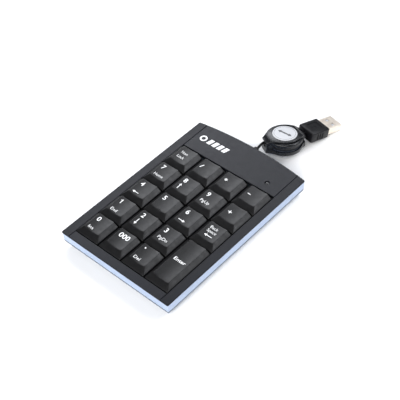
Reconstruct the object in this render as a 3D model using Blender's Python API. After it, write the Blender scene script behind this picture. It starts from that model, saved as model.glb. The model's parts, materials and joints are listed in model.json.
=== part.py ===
"""A wired numeric keypad with a pocket cord reel and a USB plug, in metres, +Z up.

The origin is the middle of the keypad's footprint, on the surface it stands on. +Y is the rear, where
the cord leaves. Nineteen keycaps slide in a guide frame over a rubber dome sheet and a membrane, the
long Enter key carries a wire stabiliser, and the cord's spare length is wound on a sprung spool.
"""

import math

import bmesh
import bpy
from mathutils import Matrix, Vector

MM = 0.001

# Case outline and the levels of its layers above the surface
CASE_WIDTH = 87.5 * MM
CASE_DEPTH = 129.0 * MM
REAR_BULGE = 3.5 * MM
CORNER_RADIUS = 0.6 * MM
DECK_TOP = 12.0 * MM
DECK_EDGE = 11.2 * MM
BAND_TOP = 10.9 * MM
BAND_BOTTOM = 5.0 * MM
CASE_TOP = 4.5 * MM
CASE_FLOOR = 2.4 * MM
CASE_BOTTOM = 1.0 * MM
BAND_INSET = 0.4 * MM
BAND_WALL = 1.5 * MM
INNER_INSET = 2.2 * MM
RAIL_WIDTH = 6.0 * MM
GAP = 0.3 * MM

# Key field
PITCH = 19.0 * MM
KEY_FIELD_Y = -11.0 * MM
WELL_WIDTH = 75.5 * MM
WELL_DEPTH = 96.6 * MM
WELL_Y = -10.2 * MM
KEY_TRAVEL = 2.4 * MM
KEY_BASE = 18.0 * MM
KEY_BOTTOM = 9.8 * MM
KEY_BREAK = 12.6 * MM
KEY_BREAK_SIZE = 17.9 * MM
KEY_TOP = 14.4 * MM
KEY_TOP_WIDTH = 12.1 * MM
KEY_TOP_DEPTH = 13.4 * MM
KEY_TOP_SHIFT = 2.0 * MM
KEY_DISH = 0.45 * MM
KEY_CEILING = 13.0 * MM
STEM_SIZE = 9.0 * MM
STEM_POCKET = 7.6 * MM
STEM_BOTTOM = 8.2 * MM
STEM_ROOF = 11.6 * MM
PLUNGER_BOTTOM = 8.7 * MM
PLUNGER_RADIUS = 1.7 * MM

# Switch stack under the keys
FRAME_BOTTOM = 5.75 * MM
FRAME_TOP = 6.75 * MM
CHIMNEY_TOP = 9.4 * MM
CHIMNEY_SIZE = 11.3 * MM
CHIMNEY_BORE = 9.7 * MM
DOME_SHEET_BOTTOM = 5.05 * MM
DOME_SHEET_TOP = 5.45 * MM
DOME_TOP = 8.4 * MM
DOME_WALL = 0.5 * MM
BACK_PLATE_BOTTOM = 3.0 * MM
BACK_PLATE_TOP = 3.6 * MM
FILM = 0.15 * MM
FILM_STEP = 0.35 * MM
FILM_BOTTOM = 3.9 * MM

# Enter key stabiliser: a bent wire turning in two clips of the guide frame
WIRE_RADIUS = 0.6 * MM
WIRE_ARM = 5.5 * MM
WIRE_LIFT = 0.5 * KEY_TRAVEL
WIRE_AXIS_X = 6.6 * MM
WIRE_AXIS_Z = 8.9 * MM
WIRE_HALF_SPAN = 12.0 * MM
WIRE_HOOK = 1.9 * MM
LUG_SIZE = (4.0 * MM, 1.8 * MM)

# Status light and controller board
LED_XY = (26.5 * MM, 45.0 * MM)
LED_BORE = 1.5 * MM
LED_RADIUS = 1.15 * MM
BOARD_BOTTOM = 5.2 * MM
BOARD_TOP = 6.2 * MM

# Screws that join the case halves, and the feet
SCREW_XY = (
    (-39.0 * MM, -59.7 * MM), (39.0 * MM, -59.7 * MM), (-36.0 * MM, 54.0 * MM), (36.0 * MM, 54.0 * MM),
)  # fmt: skip
BOSS_RADIUS = (1.9 * MM, 1.9 * MM, 2.6 * MM, 2.6 * MM)
SCREW_RADIUS = 0.9 * MM
SCREW_HEAD_RADIUS = 1.7 * MM
FOOT_XY = (
    (-33.0 * MM, -53.0 * MM), (33.0 * MM, -53.0 * MM), (-33.0 * MM, 44.0 * MM), (33.0 * MM, 44.0 * MM),
)  # fmt: skip
FOOT_RADIUS = 4.0 * MM
FOOT_TOP = 1.2 * MM

# Cord outlet in the rear wall
CORD_EXIT = Vector((-0.4 * MM, 64.1 * MM, 8.2 * MM))
CORD_RADIUS = 1.15 * MM
BOOT_LENGTH = 3.6 * MM

# Cord reel: its own frame has +Y along the cord and +Z along the spool's axle
REEL_CENTRE = (8.6 * MM, 85.1 * MM, 8.7 * MM)
REEL_YAW = math.radians(-30.0)
REEL_PITCH = math.radians(-5.0)
REEL_ROLL = math.radians(-5.9)
REEL_RADIUS = 12.3 * MM
REEL_HALF = 5.3 * MM
REEL_WINDOW_TOP = 1.9 * MM
REEL_WINDOW_BOTTOM = -1.8 * MM
REEL_KEYPAD_EAR = 14.2 * MM
REEL_PLUG_EAR = 13.2 * MM
REEL_POST_HALF_WIDTH = 5.2 * MM
REEL_MOUTH_HALF_WIDTH = 3.4 * MM
REEL_PLATE_LOW = 4.4 * MM
# The lid plate's half widths and how far it droops, by distance from the axle along the cord (all in mm)
REEL_PLATE = (
    (0.0, 10.3, 0.0), (1.5, 10.2, 0.0), (3.0, 9.85, 0.0), (4.5, 9.35, 0.0), (6.0, 8.65, 0.0), (7.5, 7.8, 0.0),
    (9.0, 6.85, 0.1), (10.0, 6.15, 0.35), (11.0, 5.5, 0.75), (12.0, 4.9, 1.25),
    (13.2, 4.2, 2.05), (14.2, 3.8, 2.6),
)  # fmt: skip
REEL_SEGMENTS = 48
AXLE_RADIUS = 1.6 * MM
LABEL_RADIUS = 8.3 * MM
WINDING_INNER = 5.2 * MM
WINDING_OUTER = 11.2 * MM

# USB plug: its own frame has +Y towards the contacts, from the middle of the grip's rear face
PLUG_BACK = (15.2 * MM, 98.6 * MM, 8.07 * MM)
PLUG_YAW = math.radians(-12.0)
PLUG_PITCH = math.radians(-12.0)
GRIP_SIZE = Vector((13.8 * MM, 15.5 * MM, 7.4 * MM))
SHELL_WIDTH = 12.0 * MM
SHELL_HEIGHT = 4.5 * MM
SHELL_REACH = 12.0 * MM
SHELL_WALL = 0.3 * MM
SHELL_ROOT = 3.0 * MM

KEY_ROWS = (
    ("key_num_lock", "key_divide", "key_multiply", "key_minus"),
    ("key_7", "key_8", "key_9", "key_plus"),
    ("key_4", "key_5", "key_6", "key_backspace"),
    ("key_1", "key_2", "key_3", "key_enter"),
    ("key_0", "key_000", "key_point", None),
)


# --- solids as (vertices, faces) ---------------------------------------------------------------------


def loft(rings):
    """Skin a stack of equal-length rings, counter-clockwise from above and lowest first."""
    count = len(rings[0])
    vertices = [point for ring in rings for point in ring]
    faces = [tuple(reversed(range(count)))]
    for level in range(len(rings) - 1):
        low = level * count
        for i in range(count):
            j = (i + 1) % count
            faces.append((low + i, low + j, low + count + j, low + count + i))
    faces.append(tuple(range(len(vertices) - count, len(vertices))))
    return vertices, faces


def at_height(outline, z):
    return [(x, y, z) for x, y in outline]


def prism(outline, bottom, top):
    return loft([at_height(outline, bottom), at_height(outline, top)])


def rectangle(width, depth, centre=(0.0, 0.0)):
    x, y = centre
    return [
        (x - width / 2, y - depth / 2),
        (x + width / 2, y - depth / 2),
        (x + width / 2, y + depth / 2),
        (x - width / 2, y + depth / 2),
    ]


def box(low, high):
    outline = [(low[0], low[1]), (high[0], low[1]), (high[0], high[1]), (low[0], high[1])]
    return prism(outline, low[2], high[2])


def circle(radius, segments, centre=(0.0, 0.0)):
    angles = (math.tau * i / segments for i in range(segments))
    return [(centre[0] + radius * math.cos(a), centre[1] + radius * math.sin(a)) for a in angles]


def turned(profile, segments, centre=(0.0, 0.0)):
    """Stack circles along an open profile of (radius, z) from bottom to top, capped at both ends."""
    return loft([at_height(circle(radius, segments, centre), z) for radius, z in profile])


def ring_solid(profile, segments):
    """Turn a closed, counter-clockwise profile of (radius, z) that stays off the axis."""
    count = len(profile)
    vertices = []
    for i in range(segments):
        angle = math.tau * i / segments
        vertices += [(r * math.cos(angle), r * math.sin(angle), z) for r, z in profile]
    faces = []
    for i in range(segments):
        here = i * count
        ahead = ((i + 1) % segments) * count
        for k in range(count):
            n = (k + 1) % count
            faces.append((here + k, ahead + k, ahead + n, here + n))
    return vertices, faces


def joined(solids):
    vertices, faces = [], []
    for some_vertices, some_faces in solids:
        first = len(vertices)
        vertices += some_vertices
        faces += [tuple(first + i for i in face) for face in some_faces]
    return vertices, faces


def along_y(solid):
    """Turn a solid built up +Z so that it runs along +Y."""
    vertices, faces = solid
    return [(x, z, -y) for x, y, z in vertices], faces


def moved(solid, offset):
    vertices, faces = solid
    return [(x + offset[0], y + offset[1], z + offset[2]) for x, y, z in vertices], faces


# --- Blender objects ---------------------------------------------------------------------------------


def make_material(name, colour, roughness, metallic=0.0):
    material = bpy.data.materials.new(name)
    material.use_nodes = True
    shader = material.node_tree.nodes["Principled BSDF"]
    shader.inputs["Base Color"].default_value = (*colour, 1.0)
    shader.inputs["Roughness"].default_value = roughness
    shader.inputs["Metallic"].default_value = metallic
    return material


def make(name, solid, material=None):
    vertices, faces = solid
    mesh = bpy.data.meshes.new(name)
    mesh.from_pydata(vertices, [], faces)
    if material is not None:
        mesh.materials.append(material)
    new_object = bpy.data.objects.new(name, mesh)
    bpy.context.collection.objects.link(new_object)
    return new_object


def combine(target, solid, operation):
    """Apply an exact Boolean of a solid to an object."""
    tool = make("tool", solid)
    modifier = target.modifiers.new("combine", "BOOLEAN")
    modifier.operation = operation
    modifier.solver = "EXACT"
    modifier.object = tool
    bpy.context.view_layer.update()
    depsgraph = bpy.context.evaluated_depsgraph_get()
    result = bpy.data.meshes.new_from_object(target.evaluated_get(depsgraph))
    target.modifiers.remove(modifier)
    old, tool_mesh = target.data, tool.data
    target.data = result
    result.name = target.name
    bpy.data.objects.remove(tool)
    bpy.data.meshes.remove(old)
    bpy.data.meshes.remove(tool_mesh)


def add(target, *solids):
    combine(target, joined(solids), "UNION")


def cut(target, *solids):
    combine(target, joined(solids), "DIFFERENCE")


def round_shading(target, angle=35.0):
    target.data.shade_smooth()
    target.data.set_sharp_from_angle(angle=math.radians(angle))


def frame_empty(name, location, rotation):
    """A carrier for pieces that share a tilted frame, turned about Y, then X, then Z."""
    empty = bpy.data.objects.new(name, None)
    bpy.context.collection.objects.link(empty)
    empty.rotation_mode = "YXZ"
    empty.location = location
    empty.rotation_euler = rotation
    return empty


def tube(name, points, radius, material, sides=2):
    """A round cord or wire through the points, with closed ends."""
    curve = bpy.data.curves.new(name, "CURVE")
    curve.dimensions = "3D"
    curve.bevel_depth = radius
    curve.bevel_resolution = sides
    curve.use_fill_caps = True
    spline = curve.splines.new("POLY")
    spline.points.add(len(points) - 1)
    for spline_point, point in zip(spline.points, points):
        spline_point.co = (*point, 1.0)
    curve.materials.append(material)
    new_object = bpy.data.objects.new(name, curve)
    bpy.context.collection.objects.link(new_object)
    return new_object


def smooth_route(points, steps):
    """Sample a Catmull-Rom curve through the points, with its own end directions."""
    points = [Vector(p) for p in points]
    ends = [2 * points[0] - points[1], *points, 2 * points[-1] - points[-2]]
    route = []
    for a, b, c, d in zip(ends, ends[1:], ends[2:], ends[3:]):
        for step in range(steps):
            t = step / steps
            bend = (2 * a - 5 * b + 4 * c - d) * t**2 + (3 * b - a - 3 * c + d) * t**3
            route.append(0.5 * (2 * b + (c - a) * t + bend))
    return [*route, points[-1]]


# --- case outline ------------------------------------------------------------------------------------

BULGE_RADIUS = ((CASE_WIDTH / 2) ** 2 + REAR_BULGE**2) / (2 * REAR_BULGE)
BULGE_CENTRE_Y = CASE_DEPTH / 2 - BULGE_RADIUS


def rear_edge(x, inset=0.0):
    """The y of the bowed rear edge at x, moved inwards by inset."""
    return BULGE_CENTRE_Y + math.sqrt((BULGE_RADIUS - inset) ** 2 - x**2)


def strip_outline(left, right, inset, steps):
    """The case outline between two x values: straight front, bowed rear."""
    front = -CASE_DEPTH / 2 + inset
    across = [right + (left - right) * i / steps for i in range(steps + 1)]
    return [(left, front), (right, front), *((x, rear_edge(x, inset)) for x in across)]


def case_outline(inset):
    """The whole case outline moved inwards, with small rounded corners."""
    half = CASE_WIDTH / 2 - inset
    radius = max(CORNER_RADIUS - inset / 2, 0.3 * MM)
    front = -CASE_DEPTH / 2 + inset + radius
    rear = rear_edge(half - radius, inset) - radius
    outline = []
    corners = ((-1, front, 180.0), (1, front, 270.0), (1, rear, 0.0), (-1, rear, 90.0))
    for number, (side, y, start) in enumerate(corners):
        for step in range(3):
            angle = math.radians(start + 45.0 * step)
            x = side * (half - radius) + radius * math.cos(angle)
            outline.append((x, y + radius * math.sin(angle)))
        if number == 2:
            inner = half - radius
            outline += [(x, rear_edge(x, inset)) for x in (inner * (1 - i / 8) for i in range(1, 16))]
    return outline


def cut_corner_outline(width, depth, centre_y, cut_size):
    x, y = width / 2, depth / 2
    corners = (
        (-x + cut_size, -y), (x - cut_size, -y), (x, -y + cut_size), (x, y - cut_size),
        (x - cut_size, y), (-x + cut_size, y), (-x, y - cut_size), (-x, -y + cut_size),
    )  # fmt: skip
    return [(cx, cy + centre_y) for cx, cy in corners]


def key_places():
    """Yield each key's name and centre; Enter is centred on the two rows it spans."""
    for row, names in enumerate(KEY_ROWS):
        for column, name in enumerate(names):
            if name is None:
                continue
            y = KEY_FIELD_Y + (2 - row) * PITCH
            if name == "key_enter":
                y -= PITCH / 2
            yield name, ((column - 1.5) * PITCH, y)


# --- keypad case -------------------------------------------------------------------------------------


def build_top_cover(material):
    half = WELL_WIDTH / 2 - GAP
    cover = make("top_cover", prism(case_outline(INNER_INSET), 9.9 * MM, BAND_TOP), material)
    add(
        cover,
        prism(strip_outline(-half, half, 0.0, 14), DECK_EDGE, DECK_TOP),
    )
    add(cover, prism(strip_outline(-half, half, INNER_INSET, 14), 10.4 * MM, 11.6 * MM))
    add(cover, prism(case_outline(INNER_INSET), 8.0 * MM, 10.2 * MM))
    cut(cover, prism(case_outline(INNER_INSET + 1.2 * MM), 7.5 * MM, 9.9 * MM))
    for (x, y), radius in zip(SCREW_XY, BOSS_RADIUS):
        add(cover, prism(circle(radius, 16, (x, y)), CASE_FLOOR + GAP, 10.2 * MM))
    holes = [prism(circle(SCREW_RADIUS + GAP, 12, xy), 0.0, 9.2 * MM) for xy in SCREW_XY]
    holes.append(prism(circle(LED_BORE, 20, LED_XY), 9.0 * MM, 13.0 * MM))
    holes += [prism(circle(1.2 * MM, 12, xy), 9.0 * MM, 11.05 * MM) for xy in rail_pegs()]
    cut(cover, *holes)
    cut(cover, prism(rectangle(WELL_WIDTH, WELL_DEPTH, (0.0, WELL_Y)), 7.0 * MM, 13.0 * MM))
    notch = 3.2 * MM
    cut(
        cover,
        box(
            (CORD_EXIT.x - notch, 60.0 * MM, 7.0 * MM),
            (CORD_EXIT.x + notch, 63.0 * MM, 10.7 * MM),
        ),
    )
    return cover


def rail_pegs():
    """Where the side rails' pegs stand."""
    return [(side * 40.2 * MM, y) for side in (-1, 1) for y in (-45.0 * MM, 0.0, 45.0 * MM)]


def build_rail(name, side, material):
    inner, outer = WELL_WIDTH / 2, CASE_WIDTH / 2
    front = -CASE_DEPTH / 2
    r = CORNER_RADIUS
    right = [
        (inner, front), (outer - r, front), (outer, front + r),
        (outer, rear_edge(outer - r) - r), (outer - r, rear_edge(outer - r)),
        (inner, rear_edge(inner)),
    ]  # fmt: skip
    outline = right if side > 0 else [(-x, y) for x, y in reversed(right)]
    rail = make(name, prism(outline, DECK_EDGE, DECK_TOP), material)
    pegs = [xy for xy in rail_pegs() if xy[0] * side > 0]
    add(rail, *(prism(circle(0.9 * MM, 10, xy), 9.6 * MM, 11.6 * MM) for xy in pegs))
    return rail


def build_band(material):
    band = make("silver_band", prism(case_outline(BAND_INSET), BAND_BOTTOM, BAND_TOP), material)
    cut(band, prism(case_outline(BAND_INSET + BAND_WALL), 0.0, 20.0 * MM))
    hole = along_y(prism(circle(2.05 * MM, 20), -3.0 * MM, 3.0 * MM))
    cut(band, moved(hole, CORD_EXIT))
    return band


def build_bottom_case(material):
    rings = (
        at_height(case_outline(3.2 * MM), CASE_BOTTOM),
        at_height(case_outline(1.0 * MM), 2.8 * MM),
        at_height(case_outline(BAND_INSET), CASE_TOP),
    )
    case = make("bottom_case", loft(rings), material)
    cut(case, prism(case_outline(BAND_INSET + BAND_WALL), CASE_FLOOR, 6.0 * MM))
    ribs = [rectangle(70.0 * MM, 1.2 * MM, (0.0, y * MM)) for y in (-50.0, -30.0, -10.0, 10.0, 30.0)]
    posts = [circle(1.6 * MM, 12, (x * MM, y * MM)) for x in (-26.0, 28.0) for y in (43.5, 55.0)]
    add(
        case,
        *(prism(rib, 2.0 * MM, BACK_PLATE_BOTTOM - GAP) for rib in ribs),
        *(prism(post, 2.0 * MM, BOARD_BOTTOM - GAP) for post in posts),
    )
    pockets = [prism(circle(FOOT_RADIUS + GAP, 24, xy), 0.0, FOOT_TOP + GAP) for xy in FOOT_XY]
    bores = [prism(circle(SCREW_RADIUS + GAP, 12, xy), 0.0, 4.0 * MM) for xy in SCREW_XY]
    heads = [prism(circle(SCREW_HEAD_RADIUS + GAP, 16, xy), 0.0, 1.6 * MM) for xy in SCREW_XY]
    cut(case, *pockets)
    cut(case, *bores)
    cut(case, *heads)
    return case


def build_screws_and_feet(steel, rubber):
    for number, (x, y) in enumerate(SCREW_XY, start=1):
        profile = (
            (SCREW_HEAD_RADIUS - 0.2 * MM, 0.0),
            (SCREW_HEAD_RADIUS, 0.25 * MM),
            (SCREW_HEAD_RADIUS * 0.98, 0.9 * MM),
            (SCREW_RADIUS, 0.95 * MM),
            (SCREW_RADIUS, 6.6 * MM),
            (SCREW_RADIUS * 0.5, 7.2 * MM),
        )
        screw = make(f"case_screw_{number}", turned(profile, 12), steel)
        slots = (rectangle(2.0 * MM, 0.45 * MM), rectangle(0.45 * MM, 2.0 * MM))
        for slot in slots:
            cut(screw, prism(slot, -1.0 * MM, 0.5 * MM))
        screw.location = (x, y, 0.5 * MM)
        round_shading(screw)
    foot_profile = (
        (FOOT_RADIUS - 0.35 * MM, 0.0),
        (FOOT_RADIUS, 0.35 * MM),
        (FOOT_RADIUS, FOOT_TOP),
    )
    for number, (x, y) in enumerate(FOOT_XY, start=1):
        foot = make(f"foot_{number}", turned(foot_profile, 24), rubber)
        foot.location = (x, y, 0.0)
        round_shading(foot)


# --- keys and switch stack ---------------------------------------------------------------------------


def key_ring(width, depth, shift_y, z, dish=0.0, steps=6):
    """A keycap ring: front and rear edges divided so that the top can sag between its sides."""
    ring = []
    for direction, y in ((1, shift_y - depth / 2), (-1, shift_y + depth / 2)):
        for i in range(steps + 1):
            t = -1.0 + 2.0 * i / steps
            ring.append((direction * t * width / 2, y, z - dish * (1.0 - t * t)))
    return ring


def keycap_solid(extra_depth):
    rings = (
        key_ring(KEY_BASE, KEY_BASE + extra_depth, 0.0, KEY_BOTTOM),
        key_ring(KEY_BREAK_SIZE, KEY_BREAK_SIZE + extra_depth, 0.0, KEY_BREAK),
        key_ring(KEY_TOP_WIDTH, KEY_TOP_DEPTH + extra_depth, KEY_TOP_SHIFT, KEY_TOP, KEY_DISH),
    )
    vertices, faces = loft(rings)
    top = faces.pop()
    half = len(top) // 2
    for i in range(half - 1):
        faces.append((top[i], top[i + 1], top[-2 - i], top[-1 - i]))
    return vertices, faces


def build_keycap_mesh(name, material, extra_depth=0.0):
    """A hollow cap with a square stem tube, and inside it the plunger that pushes the dome."""
    cap = make(name, keycap_solid(extra_depth), material)
    hollow = rectangle(16.2 * MM, 16.2 * MM + extra_depth)
    roof = rectangle(14.4 * MM, 13.4 * MM + extra_depth, (0.0, 0.5 * MM))
    cavity = (
        at_height(hollow, KEY_BOTTOM - 1.0 * MM),
        at_height(hollow, 11.8 * MM),
        at_height(roof, KEY_CEILING),
    )
    cut(cap, loft(cavity))
    add(cap, prism(rectangle(STEM_SIZE, STEM_SIZE), STEM_BOTTOM, KEY_CEILING + 0.3 * MM))
    cut(cap, prism(rectangle(STEM_POCKET, STEM_POCKET), STEM_BOTTOM - 1.0 * MM, STEM_ROOF))
    add(cap, prism(circle(PLUNGER_RADIUS, 12), PLUNGER_BOTTOM, STEM_ROOF + 0.3 * MM))
    return cap


def build_keys(material):
    square = build_keycap_mesh("square_cap", material)
    shared_mesh = square.data
    bpy.data.objects.remove(square)
    for name, (x, y) in key_places():
        if name == "key_enter":
            key = build_keycap_mesh(name, material, PITCH)
            add_stabiliser_lugs(key)
        elif name == "key_5":
            key = build_keycap_mesh(name, material)
            add(key, box((-1.4 * MM, -4.3 * MM, 13.5 * MM), (1.4 * MM, -3.7 * MM, 14.25 * MM)))
        else:
            key = bpy.data.objects.new(name, shared_mesh)
            bpy.context.collection.objects.link(key)
        key.location = (x, y, 0.0)


def stabiliser_lugs():
    """The two places under the Enter key, from its centre, where the wire's hooks are held."""
    x = WIRE_AXIS_X - WIRE_ARM * math.cos(math.asin(WIRE_LIFT / WIRE_ARM))
    return [(x, side * (WIRE_HALF_SPAN + 1.6 * MM)) for side in (-1, 1)]


def add_stabiliser_lugs(key):
    """Two slotted lugs under the Enter cap that hold the ends of the wire."""
    z = WIRE_AXIS_Z + WIRE_LIFT
    for x, y in stabiliser_lugs():
        add(key, prism(rectangle(*LUG_SIZE, (x, y)), z - 1.55 * MM, KEY_CEILING + 0.3 * MM))
        cut(
            key,
            box(
                (x - 1.1 * MM, y - 1.5 * MM, z - 0.95 * MM),
                (x + 1.1 * MM, y + 1.5 * MM, z + 0.95 * MM),
            ),
        )


def build_stabiliser(enter_xy, material):
    """A wire with a long bar as its pivot, two arms, and hooks turned outwards."""
    arm_x = -WIRE_ARM * math.cos(math.asin(WIRE_LIFT / WIRE_ARM))
    span = WIRE_HALF_SPAN
    points = (
        (arm_x, -span - WIRE_HOOK, WIRE_LIFT),
        (arm_x, -span, WIRE_LIFT),
        (0.0, -span, 0.0),
        (0.0, span, 0.0),
        (arm_x, span, WIRE_LIFT),
        (arm_x, span + WIRE_HOOK, WIRE_LIFT),
    )
    wire = tube("enter_stabiliser", points, WIRE_RADIUS, material, sides=1)
    wire.location = (enter_xy[0] + WIRE_AXIS_X, enter_xy[1], WIRE_AXIS_Z)
    return wire


def build_key_frame(enter_xy, material):
    """The guide plate with a square chimney round every key's stem."""
    outline = cut_corner_outline(77.2 * MM, 96.6 * MM, KEY_FIELD_Y, 4.2 * MM)
    frame = make("key_frame", prism(outline, FRAME_BOTTOM, FRAME_TOP), material)
    centres = [xy for _, xy in key_places()]
    chimneys = [rectangle(CHIMNEY_SIZE, CHIMNEY_SIZE, xy) for xy in centres]
    add(frame, *(prism(chimney, FRAME_BOTTOM + GAP, CHIMNEY_TOP) for chimney in chimneys))
    clip_x = enter_xy[0] + WIRE_AXIS_X
    clips = []
    for side in (-1, 1):
        y = enter_xy[1] + side * 9.5 * MM
        low = (clip_x - 1.6 * MM, y - 1.0 * MM, FRAME_BOTTOM + GAP)
        clips.append(box(low, (clip_x + 1.2 * MM, y + 1.0 * MM, WIRE_AXIS_Z + 0.45 * MM)))
    legs = []
    for side in (-1, 1):
        for y in (-40.0 * MM, -11.0 * MM, 18.0 * MM):
            low = (side * 37.75 * MM - 0.75 * MM, y - 2.0 * MM, BACK_PLATE_TOP + GAP)
            legs.append(box(low, (low[0] + 1.5 * MM, y + 2.0 * MM, FRAME_BOTTOM + GAP)))
    add(frame, *clips, *legs)
    cut(frame, *(prism(rectangle(CHIMNEY_BORE, CHIMNEY_BORE, xy), 5.0 * MM, 11.0 * MM) for xy in centres))
    bore = along_y(prism(circle(WIRE_RADIUS + 0.25 * MM, 8), -12.0 * MM, 12.0 * MM))
    cut(frame, moved(bore, (clip_x, enter_xy[1], WIRE_AXIS_Z)))
    room = (LUG_SIZE[0] + 0.8 * MM, LUG_SIZE[1] + 0.8 * MM)
    lugs = [(enter_xy[0] + x, enter_xy[1] + y) for x, y in stabiliser_lugs()]
    cut(frame, *(prism(rectangle(*room, xy), 5.0 * MM, 11.0 * MM) for xy in lugs))
    return frame


def build_dome_sheet(material):
    sheet_outline = rectangle(73.2 * MM, 92.6 * MM, (0.0, KEY_FIELD_Y))
    sheet = make("dome_sheet", prism(sheet_outline, DOME_SHEET_BOTTOM, DOME_SHEET_TOP), material)
    outside, inside = [], []
    for _, xy in key_places():
        outer = (
            (3.5 * MM, DOME_SHEET_BOTTOM + 0.2 * MM),
            (1.8 * MM, 7.5 * MM),
            (1.8 * MM, DOME_TOP),
        )
        inner = (
            (3.5 * MM - DOME_WALL, DOME_SHEET_BOTTOM - 0.5 * MM),
            (1.8 * MM - DOME_WALL, 7.2 * MM),
        )
        outside.append(turned(outer, 8, xy))
        inside.append(turned(inner, 8, xy))
    add(sheet, *outside)
    cut(sheet, *inside)
    return sheet


def build_membrane(film, carbon):
    """Two printed films held apart by a spacer with a hole under every dome."""
    outline = rectangle(73.2 * MM, 92.6 * MM, (0.0, KEY_FIELD_Y))
    for number, name in enumerate(("membrane_lower", "membrane_spacer", "membrane_upper")):
        bottom = FILM_BOTTOM + number * FILM_STEP
        sheet = make(name, prism(outline, bottom, bottom + FILM), carbon if number == 1 else film)
        if number == 1:
            holes = [prism(circle(2.2 * MM, 10, xy), 3.0 * MM, 6.0 * MM) for _, xy in key_places()]
            cut(sheet, *holes)
        else:
            tail = rectangle(14.0 * MM, 12.0 * MM, (-8.0 * MM, 38.0 * MM))
            add(sheet, prism(tail, bottom, bottom + FILM))


def build_board(fibreglass, led_body, led_lens):
    panel = box((-29.0 * MM, 41.5 * MM, BOARD_BOTTOM), (31.0 * MM, 57.0 * MM, BOARD_TOP))
    board = make("controller_board", panel, fibreglass)
    add(
        board,
        box((-4.0 * MM, 45.0 * MM, 6.0 * MM), (5.0 * MM, 51.0 * MM, 7.8 * MM)),
        box((-22.0 * MM, 47.0 * MM, 6.0 * MM), (-14.0 * MM, 53.0 * MM, 8.2 * MM)),
        box((12.0 * MM, 47.0 * MM, 6.0 * MM), (19.0 * MM, 50.0 * MM, 7.2 * MM)),
    )
    body_profile = (
        (1.4 * MM, BOARD_TOP + GAP),
        (1.4 * MM, 7.2 * MM),
        (LED_RADIUS, 7.2 * MM + 0.01 * MM),
        (LED_RADIUS, 9.9 * MM),
        (0.7 * MM, 10.6 * MM),
    )
    led = make("status_led", turned(body_profile, 16, LED_XY), led_body)
    lens_profile = (
        (LED_RADIUS, 10.9 * MM),
        (LED_RADIUS, 11.5 * MM),
        (0.7 * MM, 11.7 * MM),
    )
    lens = make("led_lens", turned(lens_profile, 20, LED_XY), led_lens)
    round_shading(led)
    round_shading(lens)


def build_strain_relief(material):
    """A collar inside the wall, a neck through it and a tapered boot outside."""
    wall = BAND_WALL
    profile = (
        (2.3 * MM, -wall - GAP - 1.3 * MM),
        (2.3 * MM, -wall - GAP),
        (1.75 * MM, -wall - GAP),
        (1.75 * MM, GAP),
        (2.45 * MM, GAP),
        (2.35 * MM, 1.4 * MM),
        (1.75 * MM, BOOT_LENGTH),
    )
    levels = [(r, z + 0.001 * MM * i) for i, (r, z) in enumerate(profile)]
    relief = make("strain_relief", moved(along_y(turned(levels, 20)), CORD_EXIT), material)
    round_shading(relief)
    return relief


# --- cord reel ---------------------------------------------------------------------------------------


def post_outline(half_width, taper=1.4 * MM, taper_length=3.4 * MM):
    """A straight bar through the reel along the cord, narrower at both tips."""
    near, far, tip = -REEL_KEYPAD_EAR, REEL_PLUG_EAR, half_width - taper
    return [
        (-tip, near), (tip, near), (half_width, near + taper_length), (half_width, far - taper_length),
        (tip, far), (-tip, far), (-half_width, far - taper_length), (-half_width, near + taper_length),
    ]  # fmt: skip


def plate_solid(levels, chamfer, face_up):
    """The eye-shaped plate of the reel; levels gives its bottom and top at a distance and a droop."""
    tip_to_tip = [(-d, w, droop) for d, w, droop in reversed(REEL_PLATE[1:])]
    tip_to_tip += [(d, w, droop) for d, w, droop in REEL_PLATE if d * MM <= REEL_PLUG_EAR]
    stations = []
    for d, w, droop in tip_to_tip:
        low, high = levels(abs(d) * MM, droop * MM)
        w *= MM
        if face_up:
            section = [(-w, low), (w, low), (w, high - chamfer), (w - chamfer, high)]
        else:
            section = [(-w, high), (-w, low + chamfer), (-w + chamfer, low), (w - chamfer, low)]
        mirrored = [(-x, z) for x, z in section[2:][::-1]] if face_up else [(w, low + chamfer), (w, high)]
        outline = [*section, *mirrored]
        if face_up:
            outline.reverse()
            outline = [(x, -z) for x, z in outline]
        else:
            outline = [(x, -z) for x, z in reversed(outline)]
        stations.append(at_height(outline, d * MM))
    return along_y(loft(stations))


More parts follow.
